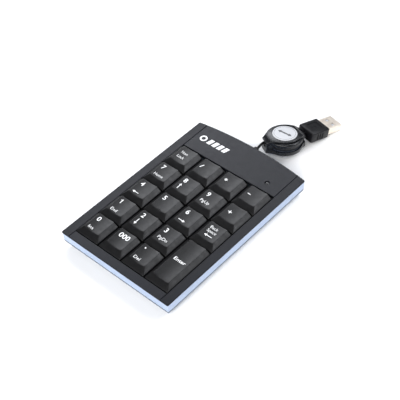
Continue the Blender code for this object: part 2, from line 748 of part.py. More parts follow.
def build_reel_shells(top_material, bottom_material):
    n = REEL_SEGMENTS
    rim_profile = (
        (REEL_RADIUS, REEL_WINDOW_TOP),
        (REEL_RADIUS, 3.2 * MM),
        (REEL_RADIUS - 0.3 * MM, 3.75 * MM),
        (REEL_RADIUS - 0.9 * MM, 4.05 * MM),
        (REEL_RADIUS - 1.4 * MM, 4.05 * MM),
        (REEL_RADIUS - 2.7 * MM, 3.6 * MM),
        (REEL_RADIUS - 2.7 * MM, 4.6 * MM),
    )
    top = make("reel_top_shell", turned(rim_profile, n), top_material)

    def lid_levels(distance, droop):
        low = REEL_PLATE_LOW if distance < 9.5 * MM else REEL_WINDOW_TOP
        return low, REEL_HALF - droop

    add(top, plate_solid(lid_levels, 0.35 * MM, True))
    cut(top, turned(((REEL_RADIUS - 0.9 * MM, 1.0 * MM), (REEL_RADIUS - 0.9 * MM, 2.7 * MM)), n))
    cut(top, prism(circle(LABEL_RADIUS + 0.2 * MM, 40), 4.85 * MM, 6.0 * MM))
    cut(top, prism(circle(AXLE_RADIUS + GAP, 16), 2.0 * MM, 4.55 * MM))
    base_profile = (
        (REEL_RADIUS - 2.0 * MM, -REEL_HALF),
        (REEL_RADIUS - 0.5 * MM, -4.6 * MM),
        (REEL_RADIUS - 0.2 * MM, -3.4 * MM),
        (REEL_RADIUS - 0.2 * MM, REEL_WINDOW_BOTTOM),
    )
    bottom = make("reel_bottom_shell", turned(base_profile, n), bottom_material)

    def base_levels(distance, droop):
        return -5.2 * MM, REEL_WINDOW_BOTTOM

    add(bottom, plate_solid(base_levels, 0.4 * MM, False))
    add(bottom, prism(post_outline(REEL_POST_HALF_WIDTH), -2.6 * MM, REEL_WINDOW_TOP - GAP))
    cut(bottom, turned(((REEL_RADIUS - 0.9 * MM, -4.1 * MM), (REEL_RADIUS - 0.9 * MM, 4.0 * MM)), n))
    for side, reach in ((-1, REEL_KEYPAD_EAR), (1, REEL_PLUG_EAR)):
        wall, tip, open_side = -side * REEL_MOUTH_HALF_WIDTH, -side * 2.6 * MM, side * 6.5 * MM
        mouth = [
            (open_side, 0.0), (open_side, side * (reach + 2.0 * MM)), (tip, side * (reach + 2.0 * MM)),
            (tip, side * reach), (wall, side * (reach - 1.4 * MM)), (wall, 0.0),
        ]  # fmt: skip
        cut(bottom, prism(mouth, -1.6 * MM, 4.0 * MM))
    axle = (
        (AXLE_RADIUS, -4.5 * MM),
        (AXLE_RADIUS, 4.1 * MM),
        (AXLE_RADIUS - 0.4 * MM, 4.35 * MM),
    )
    add(bottom, turned(axle, 16))
    for shell in (top, bottom):
        round_shading(shell)
    return top, bottom


def build_spool(material):
    """Hub and two flanges, turned in one piece round the axle."""
    bore = AXLE_RADIUS + GAP
    hub = WINDING_INNER - GAP
    rim = WINDING_OUTER - 0.15 * MM
    profile = (
        (bore, -2.15 * MM), (rim, -2.15 * MM), (rim, -1.5 * MM), (hub, -1.5 * MM),
        (hub, 1.5 * MM), (rim, 1.5 * MM), (rim, 2.15 * MM), (bore, 2.15 * MM),
    )  # fmt: skip
    spool = make("reel_spool", ring_solid(profile, REEL_SEGMENTS), material)
    round_shading(spool)
    return spool


def build_reel(materials):
    carrier = frame_empty("reel_frame", REEL_CENTRE, (REEL_PITCH, REEL_ROLL, REEL_YAW))
    top, bottom = build_reel_shells(materials["black"], materials["black"])
    spool = build_spool(materials["graphite"])
    winding_profile = (
        (WINDING_INNER, -CORD_RADIUS), (WINDING_OUTER, -CORD_RADIUS),
        (WINDING_OUTER, CORD_RADIUS), (WINDING_INNER, CORD_RADIUS),
    )  # fmt: skip
    winding = make("wound_cord", ring_solid(winding_profile, REEL_SEGMENTS), materials["cord"])
    spring_profile = (
        (2.4 * MM, -3.75 * MM), (8.4 * MM, -3.75 * MM),
        (8.4 * MM, -2.5 * MM), (2.4 * MM, -2.5 * MM),
    )  # fmt: skip
    spring = make("reel_spring", ring_solid(spring_profile, 32), materials["steel"])
    label_profile = (
        (LABEL_RADIUS - 0.1 * MM, 4.95 * MM),
        (LABEL_RADIUS - 0.1 * MM, 5.3 * MM),
        (LABEL_RADIUS - 0.35 * MM, 5.42 * MM),
    )
    label = make("reel_label", turned(label_profile, 40), materials["label"])
    for piece in (winding, spring, label):
        round_shading(piece)
    for piece in (top, bottom, spool, winding, spring, label):
        piece.parent = carrier
    return carrier


# --- USB plug ----------------------------------------------------------------------------------------


def build_plug(materials):
    carrier = frame_empty("plug_frame", PLUG_BACK, (PLUG_PITCH, 0.0, PLUG_YAW))
    w, length, h = GRIP_SIZE
    grip = make("plug_grip", box((-w / 2, 0.0, -h / 2), (w / 2, length, h / 2)), materials["black"])
    mesh = bmesh.new()
    mesh.from_mesh(grip.data)
    bmesh.ops.bevel(mesh, geom=mesh.edges[:], offset=1.0 * MM, segments=2, profile=0.5, affect="EDGES")
    mesh.to_mesh(grip.data)
    mesh.free()
    recess = rectangle(7.6 * MM, 8.4 * MM, (0.0, length / 2))
    cut(grip, prism(recess, h / 2 - 0.35 * MM, h / 2 + 1.0 * MM))
    cut(grip, prism(recess, -h / 2 - 1.0 * MM, -h / 2 + 0.35 * MM))
    grooves = []
    for side in (-1, 1):
        for y in (5.0 * MM, 7.0 * MM, 9.0 * MM):
            x = side * (w / 2 + 0.6 * MM)
            grooves.append(box((x - 1.0 * MM, y, -2.4 * MM), (x + 1.0 * MM, y + 0.8 * MM, 2.4 * MM)))
    cut(grip, *grooves)
    slot_w, slot_h = SHELL_WIDTH + 2 * GAP, SHELL_HEIGHT + 2 * GAP
    slot_low = (-slot_w / 2, length - SHELL_ROOT - GAP, -slot_h / 2)
    cut(grip, box(slot_low, (slot_w / 2, length + 1.0 * MM, slot_h / 2)))
    shell = build_plug_shell(length, materials["nickel"])
    tongue_low = (-5.6 * MM, length - SHELL_ROOT + 0.9 * MM, SHELL_HEIGHT / 2 - SHELL_WALL - GAP - 1.75 * MM)
    tongue_high = (5.6 * MM, length + SHELL_REACH - 0.6 * MM, SHELL_HEIGHT / 2 - SHELL_WALL - GAP + 0.1 * MM)
    tongue = make("plug_tongue", box(tongue_low, tongue_high), materials["label"])
    round_shading(grip)
    for piece in (grip, shell, tongue):
        piece.parent = carrier
    return carrier


def build_plug_shell(length, material):
    """The folded steel tube, open at the mouth, with two latch windows above and below."""
    w, h, wall = SHELL_WIDTH / 2, SHELL_HEIGHT / 2, SHELL_WALL
    c = 0.5 * MM
    corners = ((-w + c, -h), (w - c, -h), (w, -h + c), (w, h - c))
    outline = [*corners, *((-x, -y) for x, y in corners)]
    start, end = length - SHELL_ROOT, length + SHELL_REACH
    vertices, faces = prism(outline, start, end)
    shell = make("plug_shell", along_y((vertices, faces)), material)
    cut(shell, box((-w + wall, start + wall, -h + wall), (w - wall, end + 1.0 * MM, h - wall)))
    windows = []
    for x in (-2.8 * MM, 2.8 * MM):
        low = (x - 1.1 * MM, length + 5.2 * MM, -5.0 * MM)
        windows.append(box(low, (low[0] + 2.2 * MM, low[1] + 2.4 * MM, 5.0 * MM)))
    cut(shell, *windows)
    return shell


# --- cord --------------------------------------------------------------------------------------------


def build_cord(reel, plug, material):
    """The two exposed ends of the cord: outlet to reel, and reel to plug."""
    bpy.context.view_layer.update()
    to_world = reel.matrix_world
    plug_axis = plug.matrix_world.to_3x3() @ Vector((0.0, 1.0, 0.0))
    start = CORD_EXIT + Vector((0.0, BOOT_LENGTH + GAP, 0.0))
    reel_side = (
        to_world @ Vector((-0.3 * MM, -15.6 * MM, 0.0)),
        to_world @ Vector((-1.0 * MM, -14.0 * MM, 0.0)),
        to_world @ Vector((-1.9 * MM, -12.6 * MM, 0.0)),
    )
    straight = start + Vector((0.0, 1.1 * MM, 0.0))
    tube("cord_keypad_end", smooth_route((start, straight, *reel_side), 2), CORD_RADIUS, material)
    plug_back = Vector(PLUG_BACK)
    route = (
        to_world @ Vector((1.9 * MM, 12.6 * MM, 0.0)),
        plug_back - plug_axis * 1.3 * MM,
        plug_back - plug_axis * GAP,
    )
    tube("cord_plug_end", smooth_route(route, 2), CORD_RADIUS, material)


def main():
    for old in list(bpy.data.objects):
        bpy.data.objects.remove(old)
    materials = {
        "deck": make_material("deck_black", (0.045, 0.046, 0.050), 0.42),
        "rail": make_material("rail_black", (0.040, 0.041, 0.045), 0.40),
        "silver": make_material("band_silver", (0.55, 0.60, 0.68), 0.30, 0.35),
        "case": make_material("case_silver", (0.50, 0.54, 0.60), 0.45, 0.1),
        "key": make_material("key_black", (0.050, 0.050, 0.054), 0.45),
        "frame": make_material("guide_black", (0.020, 0.020, 0.022), 0.55),
        "dome": make_material("dome_rubber", (0.70, 0.72, 0.74), 0.60),
        "film": make_material("film_clear", (0.62, 0.66, 0.62), 0.25),
        "carbon": make_material("film_green", (0.30, 0.45, 0.36), 0.35),
        "steel": make_material("steel", (0.62, 0.62, 0.64), 0.35, 1.0),
        "board": make_material("board_green", (0.05, 0.22, 0.10), 0.45),
        "led": make_material("led_clear", (0.70, 0.75, 0.72), 0.15),
        "lens": make_material("lens_dark", (0.02, 0.02, 0.02), 0.15),
        "black": make_material("reel_black", (0.030, 0.031, 0.034), 0.38),
        "graphite": make_material("spool_graphite", (0.07, 0.08, 0.10), 0.40),
        "cord": make_material("cord_black", (0.015, 0.015, 0.016), 0.50),
        "label": make_material("white_plastic", (0.82, 0.84, 0.86), 0.40),
        "nickel": make_material("nickel", (0.74, 0.70, 0.64), 0.25, 1.0),
        "rubber": make_material("foot_rubber", (0.03, 0.03, 0.03), 0.80),
    }
    enter_xy = dict(key_places())["key_enter"]
    build_top_cover(materials["deck"])
    build_rail("left_rail", -1, materials["rail"])
    build_rail("right_rail", 1, materials["rail"])
    build_band(materials["silver"])
    build_bottom_case(materials["case"])
    build_screws_and_feet(materials["steel"], materials["rubber"])
    build_keys(materials["key"])
    build_stabiliser(enter_xy, materials["steel"])
    build_key_frame(enter_xy, materials["frame"])
    build_dome_sheet(materials["dome"])
    build_membrane(materials["film"], materials["carbon"])
    plate = cut_corner_outline(77.2 * MM, 96.6 * MM, KEY_FIELD_Y, 4.2 * MM)
    make("back_plate", prism(plate, BACK_PLATE_BOTTOM, BACK_PLATE_TOP), materials["steel"])
    build_board(materials["board"], materials["led"], materials["lens"])
    build_strain_relief(materials["rubber"])
    reel = build_reel(materials)
    plug = build_plug(materials)
    build_cord(reel, plug, materials["cord"])


main()
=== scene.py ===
"""Looks for a wired numeric keypad with a pocket cord reel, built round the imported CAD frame.

All lengths are in metres in the row's frame: the origin is the middle of the keypad's footprint on the
surface it stands on, +Y is the rear and +Z is up.
"""

import json
import math

import bmesh
import bpy
from mathutils import Matrix, Vector

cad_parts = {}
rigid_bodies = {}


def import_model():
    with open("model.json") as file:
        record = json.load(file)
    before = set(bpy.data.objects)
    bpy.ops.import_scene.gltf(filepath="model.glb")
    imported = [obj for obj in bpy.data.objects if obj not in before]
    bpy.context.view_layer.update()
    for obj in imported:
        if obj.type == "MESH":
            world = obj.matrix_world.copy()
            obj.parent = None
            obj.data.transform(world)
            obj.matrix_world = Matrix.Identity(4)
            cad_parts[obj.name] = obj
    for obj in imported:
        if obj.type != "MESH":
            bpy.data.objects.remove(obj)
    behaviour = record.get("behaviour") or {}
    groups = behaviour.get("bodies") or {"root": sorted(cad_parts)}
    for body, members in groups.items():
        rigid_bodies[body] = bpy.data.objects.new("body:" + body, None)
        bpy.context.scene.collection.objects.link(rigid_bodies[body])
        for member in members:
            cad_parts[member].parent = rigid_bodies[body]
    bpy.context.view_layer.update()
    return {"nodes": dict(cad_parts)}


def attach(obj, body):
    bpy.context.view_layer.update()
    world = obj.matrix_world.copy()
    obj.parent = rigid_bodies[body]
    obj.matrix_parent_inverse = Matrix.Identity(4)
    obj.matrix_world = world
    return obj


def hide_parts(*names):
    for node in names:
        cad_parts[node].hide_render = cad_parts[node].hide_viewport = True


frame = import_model()
NODES = frame["nodes"]
MM = 0.001


def mm(*values):
    return Vector(values) * MM


# --- camera, floor and light -------------------------------------------------------------------------

CAMERA_PLACE = mm(286.129, -278.277, 433.633)
CAMERA_RIGHT = Vector((0.74651, 0.66350, -0.04996))
CAMERA_FORWARD = Vector((-0.48469, 0.49082, -0.72399))
CAMERA_LENS = 85.406
SENSOR_WIDTH = 36.0


def add_camera():
    data = bpy.data.cameras.new("camera")
    data.lens = CAMERA_LENS
    data.sensor_width = SENSOR_WIDTH
    data.clip_start = 0.01
    data.clip_end = 20.0
    camera = bpy.data.objects.new("camera", data)
    bpy.context.scene.collection.objects.link(camera)
    back = -CAMERA_FORWARD.normalized()
    right = (CAMERA_RIGHT - CAMERA_RIGHT.dot(back) * back).normalized()
    up = back.cross(right)
    turn = Matrix((right, up, back)).transposed()
    camera.matrix_world = Matrix.Translation(CAMERA_PLACE) @ turn.to_4x4()
    bpy.context.scene.camera = camera


def add_light(name, place, target, size, power, colour=(1.0, 1.0, 1.0)):
    data = bpy.data.lights.new(name, "AREA")
    data.shape = "RECTANGLE"
    data.size, data.size_y = size
    data.energy = power
    data.color = colour
    light = bpy.data.objects.new(name, data)
    bpy.context.scene.collection.objects.link(light)
    light.location = place
    light.rotation_euler = (Vector(target) - Vector(place)).to_track_quat("-Z", "Y").to_euler()
    return light


def add_studio():
    world = bpy.data.worlds.new("studio")
    bpy.context.scene.world = world
    bpy.context.scene.view_settings.view_transform = "Standard"
    world.use_nodes = True
    sky = world.node_tree.nodes["Background"]
    sky.inputs["Color"].default_value = (0.94, 0.97, 1.0, 1.0)
    sky.inputs["Strength"].default_value = 0.16
    middle = (0.0, 0.0, 0.0)
    add_light("rear_left_key", (-0.98, 0.70, 0.84), middle, (0.85, 0.60), 10.0, (0.93, 0.95, 1.0))
    add_light("rear_strip", (0.10, 0.98, 1.16), middle, (1.5, 0.42), 11.0, (0.93, 0.95, 1.0))
    add_light("rear_right_strip", (0.95, 0.82, 1.10), middle, (0.7, 0.5), 7.0, (0.93, 0.95, 1.0))
    add_light("camera_side_fill", (0.45, -1.25, 1.15), middle, (1.7, 1.2), 38.0, (1.0, 0.99, 0.98))
    add_light("front_low_fill", (-0.6, -1.3, 0.30), middle, (1.2, 0.4), 3.0, (0.85, 0.93, 1.0))


def add_floor():
    half = 3.0
    mesh = bpy.data.meshes.new("floor")
    corners = [(-half, -half, 0.0), (half, -half, 0.0), (half, half, 0.0), (-half, half, 0.0)]
    mesh.from_pydata(corners, [], [(0, 1, 2, 3)])
    floor = bpy.data.objects.new("floor", mesh)
    bpy.context.scene.collection.objects.link(floor)
    material = bpy.data.materials.new("floor_paper")
    material.use_nodes = True
    shader = material.node_tree.nodes["Principled BSDF"]
    shader.inputs["Base Color"].default_value = (0.93, 0.93, 0.93, 1.0)
    shader.inputs["Roughness"].default_value = 0.9
    mesh.materials.append(material)


add_camera()
add_studio()
add_floor()


# --- material recipes --------------------------------------------------------------------------------


class Recipe:
    """A Principled material put together from noise in object coordinates (1 unit is a metre)."""

    def __init__(self, name, colour, roughness, metallic=0.0, **fixed):
        self.material = bpy.data.materials.new(name)
        self.material.use_nodes = True
        self.tree = self.material.node_tree
        self.shader = self.tree.nodes["Principled BSDF"]
        self.shader.inputs["Metallic"].default_value = metallic
        self.shader.inputs["Base Color"].default_value = (*colour, 1.0)
        self.shader.inputs["Roughness"].default_value = roughness
        for key, value in fixed.items():
            self.shader.inputs[key.replace("_", " ")].default_value = value
        self.colour, self.roughness = colour, roughness
        self.where = self.add("ShaderNodeTexCoord").outputs["Object"]
        self.height = None
        self.tint = None
        self.rough = None

    def add(self, kind, **settings):
        made = self.tree.nodes.new(kind)
        for key, value in settings.items():
            setattr(made, key, value)
        return made

    def link(self, output, socket):
        self.tree.links.new(output, socket)

    def stretched(self, scale):
        mapping = self.add("ShaderNodeMapping")
        mapping.inputs["Scale"].default_value = scale
        self.link(self.where, mapping.inputs["Vector"])
        return mapping.outputs["Vector"]

    def noise(self, scale, detail=2.0, roughness=0.5, where=None, distortion=0.0):
        made = self.add("ShaderNodeTexNoise")
        made.inputs["Scale"].default_value = scale
        made.inputs["Detail"].default_value = detail
        made.inputs["Roughness"].default_value = roughness
        made.inputs["Distortion"].default_value = distortion
        self.link(where or self.where, made.inputs["Vector"])
        return made.outputs["Fac"]

    def cells(self, scale, feature="F1", where=None):
        made = self.add("ShaderNodeTexVoronoi", feature=feature)
        made.inputs["Scale"].default_value = scale
        self.link(where or self.where, made.inputs["Vector"])
        return made.outputs["Distance"]

    def edges(self, low=0.5, high=0.56):
        """1 along convex edges, from the surface's pointiness."""
        return self.mapped(self.add("ShaderNodeNewGeometry").outputs["Pointiness"], low, high, 0.0, 1.0)

    def mapped(self, value, low, high, to_low, to_high):
        made = self.add("ShaderNodeMapRange")
        for key, number in (("From Min", low), ("From Max", high), ("To Min", to_low), ("To Max", to_high)):
            made.inputs[key].default_value = number
        self.link(value, made.inputs["Value"])
        return made.outputs["Result"]

    def times(self, a, b):
        made = self.add("ShaderNodeMath", operation="MULTIPLY")
        self.link(a, made.inputs[0])
        if isinstance(b, float):
            made.inputs[1].default_value = b
        else:
            self.link(b, made.inputs[1])
        return made.outputs[0]

    def paint(self, colour, amount):
        """Lays a colour over what is there, by an amount from 0 to 1."""
        made = self.add("ShaderNodeMix", data_type="RGBA")
        self.link(amount, made.inputs["Factor"])
        if self.tint is None:
            made.inputs[6].default_value = (*self.colour, 1.0)
        else:
            self.link(self.tint, made.inputs[6])
        made.inputs[7].default_value = (*colour, 1.0)
        self.tint = made.outputs[2]
        self.link(self.tint, self.shader.inputs["Base Color"])
        return self

    def vary_roughness(self, amount, low, high):
        """Roughness runs from low to high as the amount goes from 0 to 1."""
        self.rough = self.mapped(amount, 0.3, 0.7, low, high)
        self.link(self.rough, self.shader.inputs["Roughness"])
        return self

    def bump(self, height, distance, strength=1.0):
        made = self.add("ShaderNodeBump")
        made.inputs["Distance"].default_value = distance
        made.inputs["Strength"].default_value = strength
        self.link(height, made.inputs["Height"])
        if self.height is not None:
            self.link(self.height, made.inputs["Normal"])
        self.height = made.outputs["Normal"]
        self.link(self.height, self.shader.inputs["Normal"])
        return self


def shade(colour, factor):
    return tuple(min(1.0, channel * factor) for channel in colour)


def moulded_plastic(name, colour, roughness, grain=0.012, wear=0.35, **fixed):
    """Spark-eroded moulded plastic: a fine grain, faint flow mottling and paler, smoother edges."""
    recipe = Recipe(name, colour, roughness, **fixed)
    mottle = recipe.noise(140.0, 3.0)
    recipe.paint(shade(colour, 1.14), recipe.mapped(mottle, 0.35, 0.7, 0.0, 0.6))
    recipe.paint(shade(colour, 1.9), recipe.times(recipe.edges(), wear))
    recipe.vary_roughness(recipe.noise(420.0, 4.0), roughness - 0.05, roughness + 0.06)
    recipe.bump(recipe.cells(5200.0), grain * MM, 0.6)
    recipe.bump(recipe.noise(1500.0, 3.0), grain * 0.8 * MM, 0.4)
    return recipe.material


def metal_finish(name, colour, roughness, brushed=(1.0, 1.0, 1.0), depth=0.004, **fixed):
    """Bare or plated metal with drawn lines, faint smudges and bright edges."""
    recipe = Recipe(name, colour, roughness, metallic=1.0, **fixed)
    lines = recipe.noise(900.0, 5.0, 0.6, where=recipe.stretched(brushed))
    recipe.paint(shade(colour, 0.78), recipe.mapped(recipe.noise(260.0, 3.0), 0.4, 0.75, 0.0, 0.7))
    recipe.paint(shade(colour, 1.2), recipe.times(recipe.edges(0.5, 0.55), 0.5))
    recipe.vary_roughness(lines, roughness - 0.07, roughness + 0.12)
    recipe.bump(lines, depth * MM, 0.5)
    return recipe.material


def silver_paint(name, colour, roughness):
    """Metallic lacquer over plastic: tiny bright flakes under a soft orange-peel coat."""
    recipe = Recipe(name, colour, roughness, metallic=0.25, Coat_Weight=0.25, Coat_Roughness=0.25)
    recipe.paint(shade(colour, 1.35), recipe.mapped(recipe.cells(6500.0), 0.0, 0.5, 0.6, 0.0))
    recipe.paint(shade(colour, 0.82), recipe.mapped(recipe.noise(200.0, 3.0), 0.5, 0.8, 0.0, 0.5))
    recipe.vary_roughness(recipe.noise(600.0, 3.0), roughness - 0.05, roughness + 0.08)
    recipe.bump(recipe.noise(1100.0, 2.0), 0.008 * MM, 0.35)
    return recipe.material


def soft_rubber(name, colour, roughness, grain=0.02):
    recipe = Recipe(name, colour, roughness, Specular_IOR_Level=0.35)
    recipe.paint(shade(colour, 1.6), recipe.mapped(recipe.noise(300.0, 4.0), 0.4, 0.75, 0.0, 0.6))
    recipe.vary_roughness(recipe.noise(800.0, 3.0), roughness - 0.08, roughness + 0.08)
    recipe.bump(recipe.noise(2600.0, 4.0, 0.65), grain * MM, 0.7)
    return recipe.material


def clear_film(name, colour, roughness, transmission):
    recipe = Recipe(name, colour, roughness, Transmission_Weight=transmission, IOR=1.5)
    recipe.paint(shade(colour, 0.8), recipe.mapped(recipe.noise(220.0, 3.0), 0.4, 0.7, 0.0, 0.5))
    recipe.vary_roughness(recipe.noise(900.0, 2.0), roughness - 0.04, roughness + 0.06)
    recipe.bump(recipe.noise(700.0, 2.0), 0.01 * MM, 0.3)
    return recipe.material


def board_finish(name):
    """Green solder mask over glass weave, with paler copper tracks under it."""
    recipe = Recipe(name, (0.020, 0.110, 0.045), 0.32)
    weave = recipe.add("ShaderNodeTexWave", wave_type="BANDS", bands_direction="DIAGONAL")
    weave.inputs["Scale"].default_value = 260.0
    weave.inputs["Distortion"].default_value = 6.0
    weave.inputs["Detail"].default_value = 1.0
    recipe.link(recipe.where, weave.inputs["Vector"])
    recipe.paint((0.06, 0.24, 0.09), recipe.mapped(weave.outputs["Fac"], 0.62, 0.7, 0.0, 0.8))
    recipe.vary_roughness(recipe.noise(1200.0, 3.0), 0.26, 0.42)
    recipe.bump(weave.outputs["Fac"], 0.02 * MM, 0.5)
    return recipe.material


FINISH = {
    "deck": moulded_plastic("deck_plastic", (0.0075, 0.0082, 0.0112), 0.38, grain=0.012, Specular_IOR_Level=0.20),
    "rail": moulded_plastic("rail_plastic", (0.0070, 0.0076, 0.0102), 0.38, grain=0.012, Specular_IOR_Level=0.18),
    "key": moulded_plastic("keycap_plastic", (0.0045, 0.0045, 0.0050), 0.37, grain=0.008, Specular_IOR_Level=0.30),
    "guide": moulded_plastic("guide_plastic", (0.005, 0.005, 0.0055), 0.60),
    "band": silver_paint("band_lacquer", (0.42, 0.51, 0.68), 0.36),
    "case": silver_paint("case_lacquer", (0.27, 0.33, 0.43), 0.42),
    "reel": moulded_plastic("reel_plastic", (0.0045, 0.005, 0.0065), 0.26, grain=0.002, Specular_IOR_Level=0.40),
    "spool": moulded_plastic("spool_plastic", (0.016, 0.020, 0.030), 0.35, grain=0.008),
    "plug": moulded_plastic("plug_vinyl", (0.0045, 0.0045, 0.0055), 0.36, grain=0.012, Specular_IOR_Level=0.25),
    "label": moulded_plastic("label_face", (0.50, 0.51, 0.53), 0.38, grain=0.006, wear=0.1),
    "mark": moulded_plastic("label_print", (0.03, 0.032, 0.035), 0.45, grain=0.004),
    "legend": moulded_plastic("legend_print", (0.86, 0.87, 0.88), 0.55, grain=0.006, wear=0.0),
    "cord": soft_rubber("cord_vinyl", (0.012, 0.012, 0.013), 0.42, grain=0.010),
    "boot": soft_rubber("boot_vinyl", (0.014, 0.014, 0.015), 0.45, grain=0.012),
    "foot": soft_rubber("foot_rubber", (0.018, 0.018, 0.018), 0.75),
    "dome": soft_rubber("dome_silicone", (0.60, 0.62, 0.64), 0.55, grain=0.015),
    "steel": metal_finish("zinc_steel", (0.62, 0.62, 0.64), 0.34, brushed=(1.0, 14.0, 1.0)),
    "screw": metal_finish("screw_steel", (0.45, 0.45, 0.46), 0.30),
    "wire": metal_finish("wire_steel", (0.66, 0.66, 0.68), 0.24, brushed=(12.0, 1.0, 12.0)),
    "nickel": metal_finish("plug_nickel", (0.86, 0.77, 0.67), 0.36, brushed=(8.0, 1.0, 8.0)),
    "gold": metal_finish("contact_gold", (0.86, 0.62, 0.26), 0.22, brushed=(8.0, 1.0, 8.0)),
    "film": clear_film("film_clear", (0.78, 0.82, 0.80), 0.20, 0.5),
    "carbon": clear_film("film_green", (0.30, 0.50, 0.38), 0.30, 0.2),
    "board": board_finish("board_mask"),
    "led": clear_film("led_epoxy", (0.80, 0.86, 0.80), 0.12, 0.7),
    "lens": clear_film("lens_smoke", (0.030, 0.030, 0.032), 0.10, 0.2),
}

NODE_FINISH = {
    "top_cover": "deck", "left_rail": "rail", "right_rail": "rail", "silver_band": "band",
    "bottom_case": "case", "key_frame": "guide", "dome_sheet": "dome", "membrane_lower": "film",
    "membrane_spacer": "carbon", "membrane_upper": "film", "back_plate": "steel",
    "controller_board": "board", "status_led": "led", "led_lens": "lens", "strain_relief": "boot",
    "enter_stabiliser": "wire", "reel_top_shell": "reel", "reel_bottom_shell": "reel",
    "reel_spool": "spool", "reel_spring": "steel", "reel_label": "label", "plug_grip": "plug",
    "plug_shell": "nickel", "plug_tongue": "label",
}  # fmt: skip


def finish_node(name, finish):
    mesh = NODES[name].data
    mesh.materials.clear()
    mesh.materials.append(FINISH[finish])


for node_name, finish in NODE_FINISH.items():
    finish_node(node_name, finish)
for node_name in NODES:
    if node_name.startswith("case_screw"):
        finish_node(node_name, "screw")
    elif node_name.startswith("foot"):
        finish_node(node_name, "foot")
    elif node_name.startswith("key_") and node_name != "key_frame":
        finish_node(node_name, "key")


# --- solids as (vertices, faces), in mm ----------------------------------------------------------------


def loft(rings):
    """Skins a stack of equal rings, counter-clockwise from above and lowest first."""
    count = len(rings[0])
    vertices = [point for ring in rings for point in ring]
    faces = [tuple(reversed(range(count)))]
    for low in range(0, len(vertices) - count, count):
        for i in range(count):
            j = (i + 1) % count
            faces.append((low + i, low + j, low + count + j, low + count + i))
    faces.append(tuple(range(len(vertices) - count, len(vertices))))
    return vertices, faces


def at_height(outline, z):
    return [(x, y, z) for x, y in outline]


def prism(outline, bottom, top):
    return loft([at_height(outline, bottom), at_height(outline, top)])


def rectangle(width, depth, centre=(0.0, 0.0)):
    x, y = centre
    w, d = width / 2, depth / 2
    return [(x - w, y - d), (x + w, y - d), (x + w, y + d), (x - w, y + d)]


def box(low, high):
    outline = [(low[0], low[1]), (high[0], low[1]), (high[0], high[1]), (low[0], high[1])]
    return prism(outline, low[2], high[2])


def circle(radius, segments=48, centre=(0.0, 0.0)):
    angles = (math.tau * i / segments for i in range(segments))
    return [(centre[0] + radius * math.cos(a), centre[1] + radius * math.sin(a)) for a in angles]


def turned(profile, segments=96):
    """Circles along an open profile of (radius, z), capped at both ends."""
    return loft([at_height(circle(radius, segments), z) for radius, z in profile])


def ring_solid(profile, segments=96):
    """A closed, counter-clockwise profile of (radius, z) turned about the axis."""
    count = len(profile)
    vertices, faces = [], []
    for i in range(segments):
        angle = math.tau * i / segments
        vertices += [(r * math.cos(angle), r * math.sin(angle), z) for r, z in profile]
        here, ahead = i * count, (i + 1) % segments * count
        for k in range(count):
            n = (k + 1) % count
            faces.append((here + k, ahead + k, ahead + n, here + n))
    return vertices, faces


def rounded_rectangle(width, depth, radius, corner_steps=4, x_steps=8, y_steps=6):
    """Counter-clockwise outline with its straight sides divided as well as its corners."""
    w, d = width / 2 - radius, depth / 2 - radius
    corners = ((w, -d, -90.0), (w, d, 0.0), (-w, d, 90.0), (-w, -d, 180.0))
    outline = []
    for number, (cx, cy, start) in enumerate(corners):
        for step in range(corner_steps + 1):
            angle = math.radians(start + 90.0 * step / corner_steps)
            outline.append((cx + radius * math.cos(angle), cy + radius * math.sin(angle)))
        next_x, next_y, _ = corners[(number + 1) % 4]
        off_x, off_y = outline[-1][0] - cx, outline[-1][1] - cy
        side = y_steps if number % 2 == 0 else x_steps
        for t in (step / side for step in range(1, side)):
            outline.append((cx + (next_x - cx) * t + off_x, cy + (next_y - cy) * t + off_y))
    return outline


def along_y(solid):
    vertices, faces = solid
    return [(x, z, -y) for x, y, z in vertices], faces


def moved(solid, x=0.0, y=0.0, z=0.0):
    vertices, faces = solid
    return [(vx + x, vy + y, vz + z) for vx, vy, vz in vertices], faces


def spun(outline, degrees):
    c, s = math.cos(math.radians(degrees)), math.sin(math.radians(degrees))
    return [(x * c - y * s, x * s + y * c) for x, y in outline]


# --- meshes and pieces ---------------------------------------------------------------------------------

TO_METRES = Matrix.Scale(MM, 4)


def mesh_of(*solids):
    vertices, faces = [], []
    for more_vertices, more_faces in solids:
        first = len(vertices)
        vertices += [tuple(v) for v in more_vertices]
        faces += [tuple(first + i for i in face) for face in more_faces]
    mesh = bpy.data.meshes.new("solid")
    mesh.from_pydata(vertices, [], faces)
    return mesh


def combine(mesh, solids, operation):
    """The mesh after an exact Boolean with each solid in turn."""
    collection = bpy.context.scene.collection.objects
    target = bpy.data.objects.new("target", mesh)
    used = [target]
    for solid in solids:
        tool = bpy.data.objects.new("tool", mesh_of(solid))
        modifier = target.modifiers.new("combine", "BOOLEAN")
        modifier.operation, modifier.solver, modifier.object = operation, "EXACT", tool
        used.append(tool)
    for one in used:
        collection.link(one)
    bpy.context.view_layer.update()
    result = bpy.data.meshes.new_from_object(target.evaluated_get(bpy.context.evaluated_depsgraph_get()))
    for one in used:
        bpy.data.objects.remove(one)
    return result


def add(mesh, *solids):
    return combine(mesh, solids, "UNION")


def cut(mesh, *solids):
    return combine(mesh, solids, "DIFFERENCE")


def new_piece(name, mesh, finish, body, place=TO_METRES, smooth_angle=38.0, flat_faces=False):
    """A named, shown piece; place takes the mesh to metres in the row's frame."""
    mesh.name = name
    mesh.transform(place)
    mesh.materials.clear()
    mesh.materials.append(FINISH[finish])
    mesh.shade_smooth()
    mesh.set_sharp_from_angle(angle=math.radians(smooth_angle))
    for face in mesh.polygons:
        if flat_faces and max(abs(part) for part in face.normal) > 0.9995:
            face.use_smooth = False
    piece = bpy.data.objects.new(name, mesh)
    bpy.context.scene.collection.objects.link(piece)
    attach(piece, body)
    return piece


